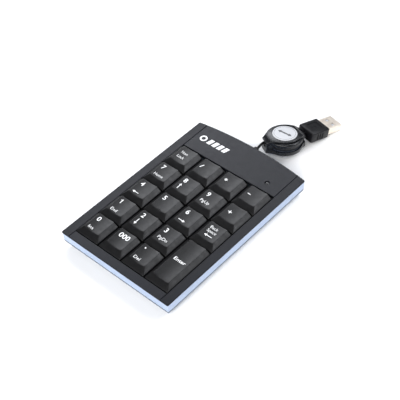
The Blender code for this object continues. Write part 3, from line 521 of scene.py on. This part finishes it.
# --- case: the CAD shapes with their visible edges rounded ---------------------------------------------


def softened(node, finish, levels, offset, reach=0.0):
    """Rounds a CAD node's sharp flat-lying edges at the levels, if they are beyond reach of the middle."""
    mesh = bmesh.new()
    mesh.from_mesh(NODES[node].data)
    mesh.transform(Matrix.Scale(1.0 / MM, 4))
    bmesh.ops.remove_doubles(mesh, verts=mesh.verts, dist=0.0005)
    bmesh.ops.dissolve_limit(mesh, angle_limit=math.radians(0.6), verts=mesh.verts, edges=mesh.edges)
    mesh.normal_update()
    picked = []
    for edge in mesh.edges:
        a, b = (v.co for v in edge.verts)
        flat = any(abs(a.z - z) < 0.02 and abs(b.z - z) < 0.02 for z in levels)
        outside = all(abs(p.x) > 43.0 - reach or abs(p.y) > 60.0 - reach for p in (a, b)) if reach else True
        if flat and outside and len(edge.link_faces) == 2 and edge.calc_face_angle(0.0) > math.radians(28.0):
            picked.append(edge)
    bmesh.ops.bevel(mesh, geom=picked, offset=offset, segments=2, profile=0.5, affect="EDGES")
    bmesh.ops.triangulate(mesh, faces=[face for face in mesh.faces if len(face.verts) > 4])
    result = bpy.data.meshes.new(node)
    mesh.to_mesh(result)
    mesh.free()
    piece = new_piece(node + "_moulding", result, finish, "case", flat_faces=True)
    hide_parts(node)
    return piece


softened("top_cover", "deck", (12.0,), 0.22)
softened("left_rail", "rail", (12.0,), 0.25)
softened("right_rail", "rail", (12.0,), 0.25)
softened("silver_band", "band", (10.9, 5.0), 0.15)
softened("bottom_case", "case", (1.0, 2.8, 4.5), 0.12, reach=3.6)


def painted_seam_shadow():
    """A dark strip on the lower case's rim, seen through the gap under the band: painted shadow standing in for the
    shade in that gap.
    """
    mesh = bmesh.new()
    mesh.from_mesh(NODES["bottom_case"].data)
    mesh.transform(Matrix.Scale(1.0 / MM, 4))
    bmesh.ops.remove_doubles(mesh, verts=mesh.verts, dist=0.0005)
    below = [face for face in mesh.faces if any(abs(v.co.z - 4.5) > 0.01 for v in face.verts)]
    bmesh.ops.delete(mesh, geom=below, context="FACES")
    raised = bmesh.ops.extrude_face_region(mesh, geom=mesh.faces[:])["geom"]
    for vertex in (g for g in raised if isinstance(g, bmesh.types.BMVert)):
        vertex.co.z += 0.45
    bmesh.ops.recalc_face_normals(mesh, faces=mesh.faces)
    result = bpy.data.meshes.new("seam")
    mesh.to_mesh(result)
    mesh.free()
    return result


# The dark strip on the rim is painted shadow for the gap under the band, in the key frame's dark plastic.
new_piece("case_seam_painted_shadow", painted_seam_shadow(), "guide", "case")


# --- keycaps -------------------------------------------------------------------------------------------

KEY_BASE = 18.0
KEY_BREAK_SIZE = 17.9
KEY_BOTTOM = 9.8
KEY_BREAK = 12.2
KEY_TOP = 14.4
KEY_TOP_WIDTH = 12.1
KEY_TOP_DEPTH = 13.4
KEY_TOP_SHIFT = 2.0
KEY_DISH = 0.45
ENTER_EXTRA = 19.0
COLUMNS = (-28.5, -9.5, 9.5, 28.5)
ROWS = (27.0, 8.0, -11.0, -30.0, -49.0)
KEYS = {
    "key_num_lock": (0, 0), "key_divide": (1, 0), "key_multiply": (2, 0), "key_minus": (3, 0),
    "key_7": (0, 1), "key_8": (1, 1), "key_9": (2, 1), "key_plus": (3, 1),
    "key_4": (0, 2), "key_5": (1, 2), "key_6": (2, 2), "key_backspace": (3, 2),
    "key_1": (0, 3), "key_2": (1, 3), "key_3": (2, 3), "key_enter": (3, 3),
    "key_0": (0, 4), "key_000": (1, 4), "key_point": (2, 4),
}  # fmt: skip


def key_centre(name):
    column, row = KEYS[name]
    return COLUMNS[column], ROWS[row] - (ENTER_EXTRA / 2 if name == "key_enter" else 0.0)


def dish_height(x):
    """The height of a cap's top, hollow across its width."""
    return KEY_TOP - KEY_DISH * max(0.0, 1.0 - (2.0 * x / KEY_TOP_WIDTH) ** 2)


def cap_outside(extra):
    """Upright skirt, four slopes with soft edges, and the hollow top drawn in to its middle."""
    y_steps = 6 if extra == 0.0 else 12
    rings = []
    for size, z, radius in ((17.7, 9.8, 0.5), (KEY_BASE, 9.95, 0.6), (17.96, 12.03, 0.6), (17.9, 12.16, 0.65)):
        rings.append(at_height(rounded_rectangle(size, size + extra, radius, y_steps=y_steps), z))
    for t in (0.05, 0.3, 0.6, 0.94, 0.985):
        width = KEY_BREAK_SIZE + (KEY_TOP_WIDTH - KEY_BREAK_SIZE) * t
        depth = KEY_BREAK_SIZE + (KEY_TOP_DEPTH - KEY_BREAK_SIZE) * t + extra
        outline = rounded_rectangle(width, depth, 0.7, y_steps=y_steps)
        rim = max(0.0, t - 0.3) / 0.7
        rings.append([
            (x, y + KEY_TOP_SHIFT * t, KEY_BREAK + (dish_height(x) - KEY_TOP) * rim**2 + (KEY_TOP - KEY_BREAK) * t)
            for x, y in outline
        ])  # fmt: skip
    outline = rounded_rectangle(KEY_TOP_WIDTH, KEY_TOP_DEPTH + extra, 0.7, y_steps=y_steps)
    for scale, drop in ((0.993, 0.02), (0.972, 0.0), *((s, 0.0) for s in (0.88, 0.78, 0.66, 0.53, 0.39, 0.25, 0.1))):
        ring = [(x * scale, y * scale + KEY_TOP_SHIFT) for x, y in outline]
        rings.append([(x, y, dish_height(x) - drop) for x, y in ring])
    return loft(rings)


def cap_mesh(extra=0.0):
    cavity = [
        at_height(rounded_rectangle(16.2, 16.2 + extra, 0.6), KEY_BOTTOM - 1.0),
        at_height(rounded_rectangle(16.2, 16.2 + extra, 0.6), 11.8),
        [(x, y + 0.5, 13.0) for x, y in rounded_rectangle(14.4, 13.4 + extra, 0.6)],
    ]
    cap = cut(mesh_of(cap_outside(extra)), loft(cavity))
    cap = add(cap, prism(rectangle(9.0, 9.0), 8.2, 13.3))
    cap = cut(cap, prism(rectangle(7.6, 7.6), 7.2, 11.6))
    return add(cap, prism(circle(1.7, 24), 8.7, 11.9))


def enter_mesh():
    """The long cap, with the two slotted lugs that hold the wire's hooks."""
    cap = cap_mesh(ENTER_EXTRA)
    for y in (-13.6, 13.6):
        cap = add(cap, prism(rectangle(4.0, 1.8, (1.233, y)), 8.55, 13.3))
        cap = cut(cap, box((0.133, y - 1.5, 9.15), (2.333, y + 1.5, 11.05)))
    return cap


SQUARE_CAP = cap_mesh()
CAPS = {"key_enter": enter_mesh(), "key_5": add(SQUARE_CAP.copy(), box((-1.4, -4.3, 13.5), (1.4, -3.7, 14.25)))}

for key_name in KEYS:
    x, y = key_centre(key_name)
    cap_copy = CAPS.get(key_name, SQUARE_CAP).copy()
    cap = new_piece(
        key_name + "_cap", cap_copy, "key", key_name, TO_METRES @ Matrix.Translation((x, y, 0.0)), 50.0
    )  # fmt: skip
    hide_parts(key_name)


# --- printed legends -----------------------------------------------------------------------------------

PRINT_HALF = 0.028
ARROW_SHAPE = (
    (-1.0, -0.10), (0.32, -0.10), (0.32, -0.42), (1.0, 0.0), (0.32, 0.42), (0.32, 0.10), (-1.0, 0.10),
)  # fmt: skip


def lettering(text, centre, height=None, width=None, weight=0.012):
    """The text as a flat solid fitted to a height, or a width, or both, in mm."""
    curve = bpy.data.curves.new("lettering", "FONT")
    curve.body, curve.size, curve.offset, curve.resolution_u = text, 1.0, weight, 4
    carrier = bpy.data.objects.new("lettering", curve)
    bpy.context.scene.collection.objects.link(carrier)
    bpy.context.view_layer.update()
    flat = bpy.data.meshes.new_from_object(carrier.evaluated_get(bpy.context.evaluated_depsgraph_get()))
    bpy.data.objects.remove(carrier)
    xs, ys = [v.co.x for v in flat.vertices], [v.co.y for v in flat.vertices]
    tall, wide = max(ys) - min(ys), max(xs) - min(xs)
    scale_y = (height or width * tall / wide) / tall
    scale_x = width / wide if width else scale_y
    shape = bmesh.new()
    shape.from_mesh(flat)
    for vertex in shape.verts:
        vertex.co.x = (vertex.co.x - (max(xs) + min(xs)) / 2) * scale_x + centre[0]
        vertex.co.y = (vertex.co.y - (max(ys) + min(ys)) / 2) * scale_y + centre[1]
        vertex.co.z = -PRINT_HALF
    bmesh.ops.remove_doubles(shape, verts=shape.verts, dist=0.001)
    for face in shape.faces:
        if face.normal.z < 0.0:
            face.normal_flip()
    raised = bmesh.ops.extrude_face_region(shape, geom=shape.faces[:])["geom"]
    for vertex in (g for g in raised if isinstance(g, bmesh.types.BMVert)):
        vertex.co.z = PRINT_HALF
    bmesh.ops.recalc_face_normals(shape, faces=shape.faces)
    vertices = [tuple(v.co) for v in shape.verts]
    faces = [tuple(v.index for v in face.verts) for face in shape.faces]
    shape.free()
    return vertices, faces


def arrow(centre, length, degrees, weight=1.0):
    outline = [(x * length / 2, y * 2.3 * weight) for x, y in ARROW_SHAPE]
    return moved(prism(spun(outline, degrees), -PRINT_HALF, PRINT_HALF), *centre)


def bar(centre, width, depth, degrees=0.0):
    return moved(prism(spun(rectangle(width, depth), degrees), -PRINT_HALF, PRINT_HALF), *centre)


def digit(text, centre=(-3.2, 5.1), width=None):
    return lettering(text, centre, 3.5, width)


def small(text, centre, height, width):
    return lettering(text, centre, height, width, -0.004)


def figure_one(x=-3.2, y=5.1):
    outline = [
        (0.05, -1.75), (0.55, -1.75), (0.55, 1.75), (0.2, 1.75), (-0.15, 1.2), (-0.85, 0.85), (-0.85, 0.4), (0.05, 0.8),
    ]  # fmt: skip
    return moved(prism(outline, -PRINT_HALF, PRINT_HALF), x, y)


LEGENDS = {
    "key_num_lock": [small("Num", (-1.3, 4.0), 2.1, 5.0), small("Lock", (-1.2, -0.1), 2.3, 5.4)],
    "key_divide": [bar((-4.0, 2.1), 3.3, 0.55, 66.0)],
    "key_multiply": [bar((-3.2, 2.5), 2.0, 0.5, turn) for turn in (0.0, 60.0, 120.0)],
    "key_minus": [bar((-3.25, 2.0), 2.2, 0.5)],
    "key_7": [digit("7"), small("Home", (-0.9, -2.1), 2.1, 7.0)],
    "key_8": [digit("8"), arrow((-3.4, -0.75), 4.8, 90.0)],
    "key_9": [digit("9"), small("PgUp", (-1.0, -1.3), 2.8, 6.8)],
    "key_plus": [bar((-2.6, 2.2), 2.6, 0.5), bar((-2.6, 2.2), 2.6, 0.5, 90.0)],
    "key_4": [digit("4"), arrow((-2.1, -2.6), 4.8, 180.0)],
    "key_5": [digit("5")],
    "key_6": [digit("6"), arrow((-1.8, -2.3), 4.8, 0.0)],
    "key_backspace": [
        small("Back", (-1.0, 5.2), 2.2, 5.6), small("Space", (-0.5, 1.8), 2.8, 6.8),
        arrow((-0.45, -1.5), 5.9, 180.0),
    ],
    "key_1": [figure_one(), small("End", (-1.9, -2.6), 2.1, 4.8)],
    "key_2": [digit("2"), arrow((-3.4, -0.95), 5.0, -90.0)],
    "key_3": [digit("3"), small("PgDn", (-0.5, -1.6), 2.8, 7.2)],
    "key_enter": [lettering("Enter", (0.0, 2.2), 2.3, 8.6)],
    "key_0": [digit("0"), small("Ins", (-2.4, -2.5), 2.1, 3.8)],
    "key_000": [lettering("000", (-0.2, 4.7), 3.6, 7.8)],
    "key_point": [moved(prism(circle(0.5, 16), -PRINT_HALF, PRINT_HALF), -3.4, 6.2), small("Del", (-2.1, -2.3), 2.1, 4.6)],
}  # fmt: skip


def draped(solids):
    """Joins flat marks, divides them every half millimetre across, and lays them in a cap's hollow top."""
    shape = bmesh.new()
    shape.from_mesh(mesh_of(*solids))
    for step in range(-11, 12):
        geometry = shape.verts[:] + shape.edges[:] + shape.faces[:]
        bmesh.ops.bisect_plane(shape, geom=geometry, plane_co=(step / 2, 0.0, 0.0), plane_no=(1.0, 0.0, 0.0))
    for vertex in shape.verts:
        vertex.co.z += dish_height(vertex.co.x)
    result = bpy.data.meshes.new("print")
    shape.to_mesh(result)
    shape.free()
    return result


for key_name, marks in LEGENDS.items():
    x, y = key_centre(key_name)
    place = TO_METRES @ Matrix.Translation((x, y, 0.0))
    new_piece(key_name + "_legend", draped(marks), "legend", key_name, place)


# --- emblem and status light on the deck ---------------------------------------------------------------


def emblem():
    """A plain mark: a ring and four slanting blocks."""
    low, high = 11.97, 12.03
    ring = ring_solid(((1.45, low), (2.6, low), (2.6, high), (1.45, high)), 64)
    blocks = []
    for i in range(4):
        x, y = -27.3 + 4.2 * i, 48.4
        blocks.append(prism([(x, y), (x + 2.9, y), (x + 4.1, y + 4.6), (x + 1.2, y + 4.6)], low, high))
    return mesh_of(moved(ring, -31.2, 50.7), *blocks)


new_piece("deck_emblem", emblem(), "legend", "case")
lens_profile = [(1.15, 10.9), (1.15, 11.35), *((1.15 * math.cos(a), 11.35 + 0.35 * math.sin(a)) for a in (0.4, 0.8, 1.2, 1.5))]
lens = new_piece(
    "status_lens", mesh_of(turned(lens_profile, 48)), "lens", "case",
    TO_METRES @ Matrix.Translation((26.5, 45.0, 0.0)),
)  # fmt: skip
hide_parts("led_lens")


# --- screws, feet and strain relief --------------------------------------------------------------------


def fixings():
    """Cross-recessed screws and round feet under the case."""
    screw_profile = (
        (1.45, 0.0), (1.6, 0.06), (1.7, 0.22), (1.68, 0.9), (0.9, 0.95), (0.9, 6.6), (0.45, 7.2),
    )  # fmt: skip
    cross = [loft([at_height(rectangle(2.1, 0.5), -0.5), at_height(rectangle(1.3, 0.34), 0.55)])]
    cross.append(([(-y, x, z) for x, y, z in cross[0][0]], cross[0][1]))
    screw = cut(mesh_of(turned(screw_profile, 32)), *cross)
    foot_profile = ((3.45, 0.0), (3.75, 0.08), (3.93, 0.22), (4.0, 0.45), (4.0, 1.2))
    foot = cut(mesh_of(turned(foot_profile, 64)), ring_solid(((2.7, -0.5), (3.0, -0.5), (3.0, 0.12), (2.7, 0.12)), 64))
    for number, (x, y) in enumerate(((-39.0, -59.7), (39.0, -59.7), (-36.0, 54.0), (36.0, 54.0)), start=1):
        place = TO_METRES @ Matrix.Translation((x, y, 0.5))
        piece = new_piece(f"case_screw_{number}_head", screw.copy(), "screw", "case", place)
        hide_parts(f"case_screw_{number}")
    for number, (x, y) in enumerate(((-33.0, -53.0), (33.0, -53.0), (-33.0, 44.0), (33.0, 44.0)), start=1):
        place = TO_METRES @ Matrix.Translation((x, y, 0.0))
        piece = new_piece(f"foot_{number}_pad", foot.copy(), "foot", "case", place)
        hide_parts(f"foot_{number}")


fixings()
boot_profile = [
    (2.3, -3.1), (2.3, -1.8), (1.75, -1.799), (1.75, 0.3), (2.3, 0.301), (2.45, 0.45), (2.38, 1.1),
    (2.1, 1.2), (2.1, 1.45), (2.26, 1.55), (2.1, 2.1), (1.85, 2.2), (1.85, 2.45), (1.97, 2.55),
    (1.82, 3.3), (1.6, 3.6),
]  # fmt: skip
boot = new_piece(
    "cord_boot", mesh_of(along_y(turned(boot_profile, 48))), "boot", "case",
    TO_METRES @ Matrix.Translation((-0.4, 64.1, 8.2)),
)  # fmt: skip
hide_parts("strain_relief")


# --- cord reel -----------------------------------------------------------------------------------------

REEL = Matrix.Translation(mm(8.6, 85.1, 8.7)) @ (
    Matrix.Rotation(math.radians(-30.0), 4, "Z")
    @ Matrix.Rotation(math.radians(-5.0), 4, "X")
    @ Matrix.Rotation(math.radians(-5.9), 4, "Y")
)
REEL_EARS = {-1: 14.2, 1: 13.2}
# Half width of the eye-shaped plate and how far it droops, by distance from the axle along the cord
REEL_PLATE = (
    (0.0, 10.3, 0.0), (1.5, 10.2, 0.0), (3.0, 9.85, 0.0), (4.5, 9.35, 0.0), (6.0, 8.65, 0.0), (7.5, 7.8, 0.0),
    (9.0, 6.85, 0.1), (10.0, 6.15, 0.35), (11.0, 5.5, 0.75), (12.0, 4.9, 1.25), (13.2, 4.2, 2.05), (14.2, 3.8, 2.6),
)  # fmt: skip


def smooth_route(points, steps):
    """Samples a Catmull-Rom curve through the points."""
    ends = [2 * points[0] - points[1], *points, 2 * points[-1] - points[-2]]
    route = []
    for a, b, c, d in zip(ends, ends[1:], ends[2:], ends[3:]):
        for step in range(steps):
            t = step / steps
            bend = (2 * a - 5 * b + 4 * c - d) * t**2 + (3 * b - a - 3 * c + d) * t**3
            route.append(0.5 * (2 * b + (c - a) * t + bend))
    return [*route, points[-1]]


def plate(levels, shoulder, face_up):
    """The eye-shaped plate; levels gives its bottom and top at a distance and a droop."""
    half = smooth_route([Vector(row) for row in REEL_PLATE], 3)
    stations = [(-d, w, droop) for d, w, droop in reversed(half[1:])]
    stations += [(d, w, droop) for d, w, droop in half if d < REEL_EARS[1] + 0.01]
    rounding = [(shoulder * (1 - math.cos(a)), shoulder * (1 - math.sin(a))) for a in (0.0, 0.52, 1.05, math.pi / 2)]
    rings = []
    for d, w, droop in stations:
        low, high = levels(abs(d), droop)
        right = [(w - inset, high - drop if face_up else low + drop) for inset, drop in rounding]
        left = [(-x, z) for x, z in reversed(right)]
        section = [(-w, low), (w, low), *right, *left] if face_up else [*left, *right, (w, high), (-w, high)]
        if not face_up:
            section = [*reversed(left), *reversed(right), (w, high), (-w, high)]
        rings.append(at_height([(x, -z) for x, z in reversed(section)], d))
    return along_y(loft(rings))


def rounded_box(low, high, radius, segments=3):
    shape = bmesh.new()
    shape.from_mesh(mesh_of(box(low, high)))
    bmesh.ops.bevel(shape, geom=shape.edges[:], offset=radius, segments=segments, profile=0.5, affect="EDGES")
    result = bpy.data.meshes.new("rounded")
    shape.to_mesh(result)
    shape.free()
    return result


def build_reel():
    place = REEL @ TO_METRES
    rim = (
        (12.3, 1.9), (12.3, 3.15), (12.22, 3.45), (12.0, 3.72), (11.7, 3.94), (11.35, 4.05), (10.9, 4.05),
        (10.5, 3.92), (10.1, 3.65), (9.7, 3.6), (9.6, 4.6),
    )  # fmt: skip
    top = add(mesh_of(turned(rim)), plate(lambda d, droop: (4.4 if d < 9.5 else 1.9, 5.3 - droop), 0.45, True))
    top = cut(top, prism(circle(11.4, 96), 1.0, 2.7), prism(circle(8.5, 96), 4.85, 6.0), prism(circle(1.9, 32), 2.0, 4.55))
    base = ((10.3, -5.3), (10.9, -5.2), (11.45, -4.95), (11.8, -4.6), (12.0, -4.1), (12.1, -3.4), (12.1, -1.8))
    bottom = add(mesh_of(turned(base)), plate(lambda d, droop: (-5.2, -1.8), 0.5, False))
    post = [
        (-3.8, -14.2), (3.8, -14.2), (5.2, -10.8), (5.2, 9.8), (3.8, 13.2), (-3.8, 13.2), (-5.2, 9.8), (-5.2, -10.8),
    ]  # fmt: skip
    bottom = add(bottom, prism(post, -2.6, 1.6))
    bottom = cut(bottom, prism(circle(11.4, 96), -4.1, 4.0))
    for side, reach in REEL_EARS.items():
        mouth = [
            (side * 6.5, 0.0), (side * 6.5, side * (reach + 2.0)), (-side * 2.6, side * (reach + 2.0)),
            (-side * 2.6, side * reach), (-side * 3.4, side * (reach - 1.4)), (-side * 3.4, 0.0),
        ]  # fmt: skip
        bottom = cut(bottom, prism(mouth, -1.6, 4.0))
    bottom = add(bottom, turned(((1.6, -4.5), (1.6, 4.1), (1.45, 4.28), (1.2, 4.35)), 32))
    spool = (
        (1.9, -2.15), (10.95, -2.15), (11.05, -2.05), (11.05, -1.6), (10.95, -1.5), (4.9, -1.5), (4.9, 1.5),
        (10.95, 1.5), (11.05, 1.6), (11.05, 2.05), (10.95, 2.15), (1.9, 2.15),
    )  # fmt: skip
    label = ((8.2, 4.95), (8.2, 5.25), (8.13, 5.34), (8.0, 5.4), (7.85, 5.42))
    double_arrow = [
        (-5.4, 0.0), (-3.0, 1.35), (-3.2, 0.5), (0.0, 0.65), (3.2, 0.5), (3.0, 1.35),
        (5.4, 0.0), (3.0, -1.35), (3.2, -0.5), (0.0, -0.65), (-3.2, -0.5), (-3.0, -1.35),
    ]  # fmt: skip
    print_low, print_high = 5.39, 5.45
    line = ring_solid(((7.0, print_low), (7.16, print_low), (7.16, print_high), (7.0, print_high)))
    arrows = prism(spun(double_arrow[::-1], 32.0), print_low, print_high)
    pieces = {
        "reel_lid": new_piece("reel_lid", top, "reel", "case", place),
        "reel_base": new_piece("reel_base", bottom, "reel", "case", place),
        "reel_drum": new_piece("reel_drum", mesh_of(ring_solid(spool)), "spool", "spool", place),
        "reel_badge": new_piece("reel_badge", mesh_of(turned(label)), "label", "case", place),
        "reel_badge_print": new_piece("reel_badge_print", mesh_of(line, arrows), "mark", "case", place),
    }
    for piece, node in zip(pieces.values(), ("reel_top_shell", "reel_bottom_shell", "reel_spool", "reel_label")):
        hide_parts(node)
    return [*pieces.values(), NODES["reel_spring"]]


reel_pieces = build_reel()


# --- USB plug ------------------------------------------------------------------------------------------

PLUG = Matrix.Translation(mm(15.2, 98.6, 8.07)) @ (
    Matrix.Rotation(math.radians(-12.0), 4, "Z") @ Matrix.Rotation(math.radians(-12.0), 4, "X")
)


def build_plug():
    place = PLUG @ TO_METRES
    grip = rounded_box((-6.9, 0.0, -3.7), (6.9, 15.5, 3.7), 1.0, 4)
    recess = rounded_rectangle(7.6, 8.4, 0.6)
    recess = [(x, y + 7.75) for x, y in recess]
    grip = cut(grip, prism(recess, 3.35, 5.0), prism(recess, -5.0, -3.35))
    grooves = []
    for side in (-1, 1):
        for y in (5.0, 7.0, 9.0):
            grooves.append(box((side * 7.5 - 1.0, y, -2.4), (side * 7.5 + 1.0, y + 0.8, 2.4)))
    grip = cut(grip, *grooves)
    grip = cut(grip, box((-6.3, 12.2, -2.55), (6.3, 17.0, 2.55)))
    mark = [(x * 2.6, y * 2.3) for x, y in ARROW_SHAPE]
    grip = add(grip, moved(prism(spun(mark, 90.0), 3.2, 3.52), 0.0, 7.75))
    outside = rounded_rectangle(12.0, 4.5, 0.5, 3, 2, 2)
    inside = rounded_rectangle(11.4, 3.9, 0.3, 3, 2, 2)
    shell = cut(mesh_of(along_y(prism(outside, 12.5, 27.5))), along_y(prism(inside, 12.8, 29.0)))
    windows = [box((x - 1.1, 20.7, -5.0), (x + 1.1, 23.1, 5.0)) for x in (-2.8, 2.8)]
    shell = cut(shell, *windows, box((-0.06, 12.0, -3.0), (0.06, 28.0, -2.1)))
    tongue = box((-5.6, 13.4, -0.1), (5.6, 26.9, 1.75))
    contacts = [box((x - 0.5, 14.2, -0.16), (x + 0.5, 26.2 - abs(x) % 3.4 * 0.3, -0.09)) for x in (-3.5, -1.0, 1.0, 3.5)]
    pieces = [
        new_piece("plug_body", grip, "plug", "case", place),
        new_piece("plug_sleeve", shell, "nickel", "case", place),
        new_piece("plug_insert", mesh_of(tongue), "label", "case", place),
        new_piece("plug_contacts", mesh_of(*contacts), "gold", "case", place),
    ]
    for piece, node in zip(pieces, ("plug_grip", "plug_shell", "plug_tongue")):
        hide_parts(node)
    return pieces


plug_pieces = build_plug()


# --- the cord: two flat leads, wound side by side on the reel's spool ----------------------------------

CORD_WIDTH = 2.3
CORD_THICKNESS = 0.62
COIL_OUTER = 10.85
COIL_INNER = 5.45
COIL_PITCH = 1.72
COIL_STEP = 10.0
COIL_START = 231.0
# Points given in the reel's frame, from each mouth to or from the outer turn
KEYPAD_MOUTH = ((-0.3, -15.9, 0.0), (-1.9, -13.1, 0.0))
PLUG_MOUTH = ((1.9, 13.1, 0.0),)


def coil_points():
    """Clockwise turns from the outside in, the last of them dipping into the hub."""
    turn_steps = round((COIL_OUTER - COIL_INNER) / COIL_PITCH * 360.0 / COIL_STEP)
    radii = [COIL_OUTER - COIL_PITCH * COIL_STEP * i / 360.0 for i in range(turn_steps + 1)]
    points = []
    for i, radius in enumerate([*radii, 5.3, 5.0, 4.55]):
        angle = math.radians(COIL_START - COIL_STEP * i)
        points.append((radius * math.cos(angle), radius * math.sin(angle), 0.0))
    return points


def in_reel(points):
    return [REEL @ mm(*point) for point in points]


def ribbon(name, route):
    """A flat cord along the route, its width across the reel's plane, with rounded edges."""
    across = REEL.to_3x3() @ Vector((0.0, 0.0, 1.0))
    straight, edge = (CORD_WIDTH - CORD_THICKNESS) / 2, CORD_THICKNESS / 2
    turns = [math.radians(45.0 * step) for step in range(5)]
    section = [(straight + edge * math.sin(a), -edge * math.cos(a)) for a in turns]
    section += [(-w, -t) for w, t in section]
    rings = []
    for i, point in enumerate(route):
        ahead = (route[min(i + 1, len(route) - 1)] - route[max(i - 1, 0)]).normalized()
        width_way = (across - across.dot(ahead) * ahead).normalized()
        thick_way = ahead.cross(width_way)
        rings.append([point / MM + width_way * w + thick_way * t for w, t in section])
    return new_piece(name, mesh_of(loft(rings)), "cord", "case")


coil = coil_points()
keypad_points = [mm(-0.4, 65.4, 8.2), mm(-0.4, 68.0, 8.2), mm(-0.4, 69.1, 8.2)]
keypad_route = smooth_route([*keypad_points, *in_reel([*KEYPAD_MOUTH, (-4.4, -10.95, 0.0), *coil])], 3)
other_coil = [(-x, -y, z) for x, y, z in reversed(coil)]
plug_points = [PLUG @ mm(0.0, y, 0.0) for y in (-1.2, 1.5)]
plug_route = smooth_route([*in_reel([*other_coil, (4.4, 10.95, 0.0), *PLUG_MOUTH]), *plug_points], 3)

keypad_lead = ribbon("cord_keypad_lead", keypad_route)
plug_lead = ribbon("cord_plug_lead", plug_route)
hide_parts("cord_keypad_end", "wound_cord")
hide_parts("cord_plug_end")
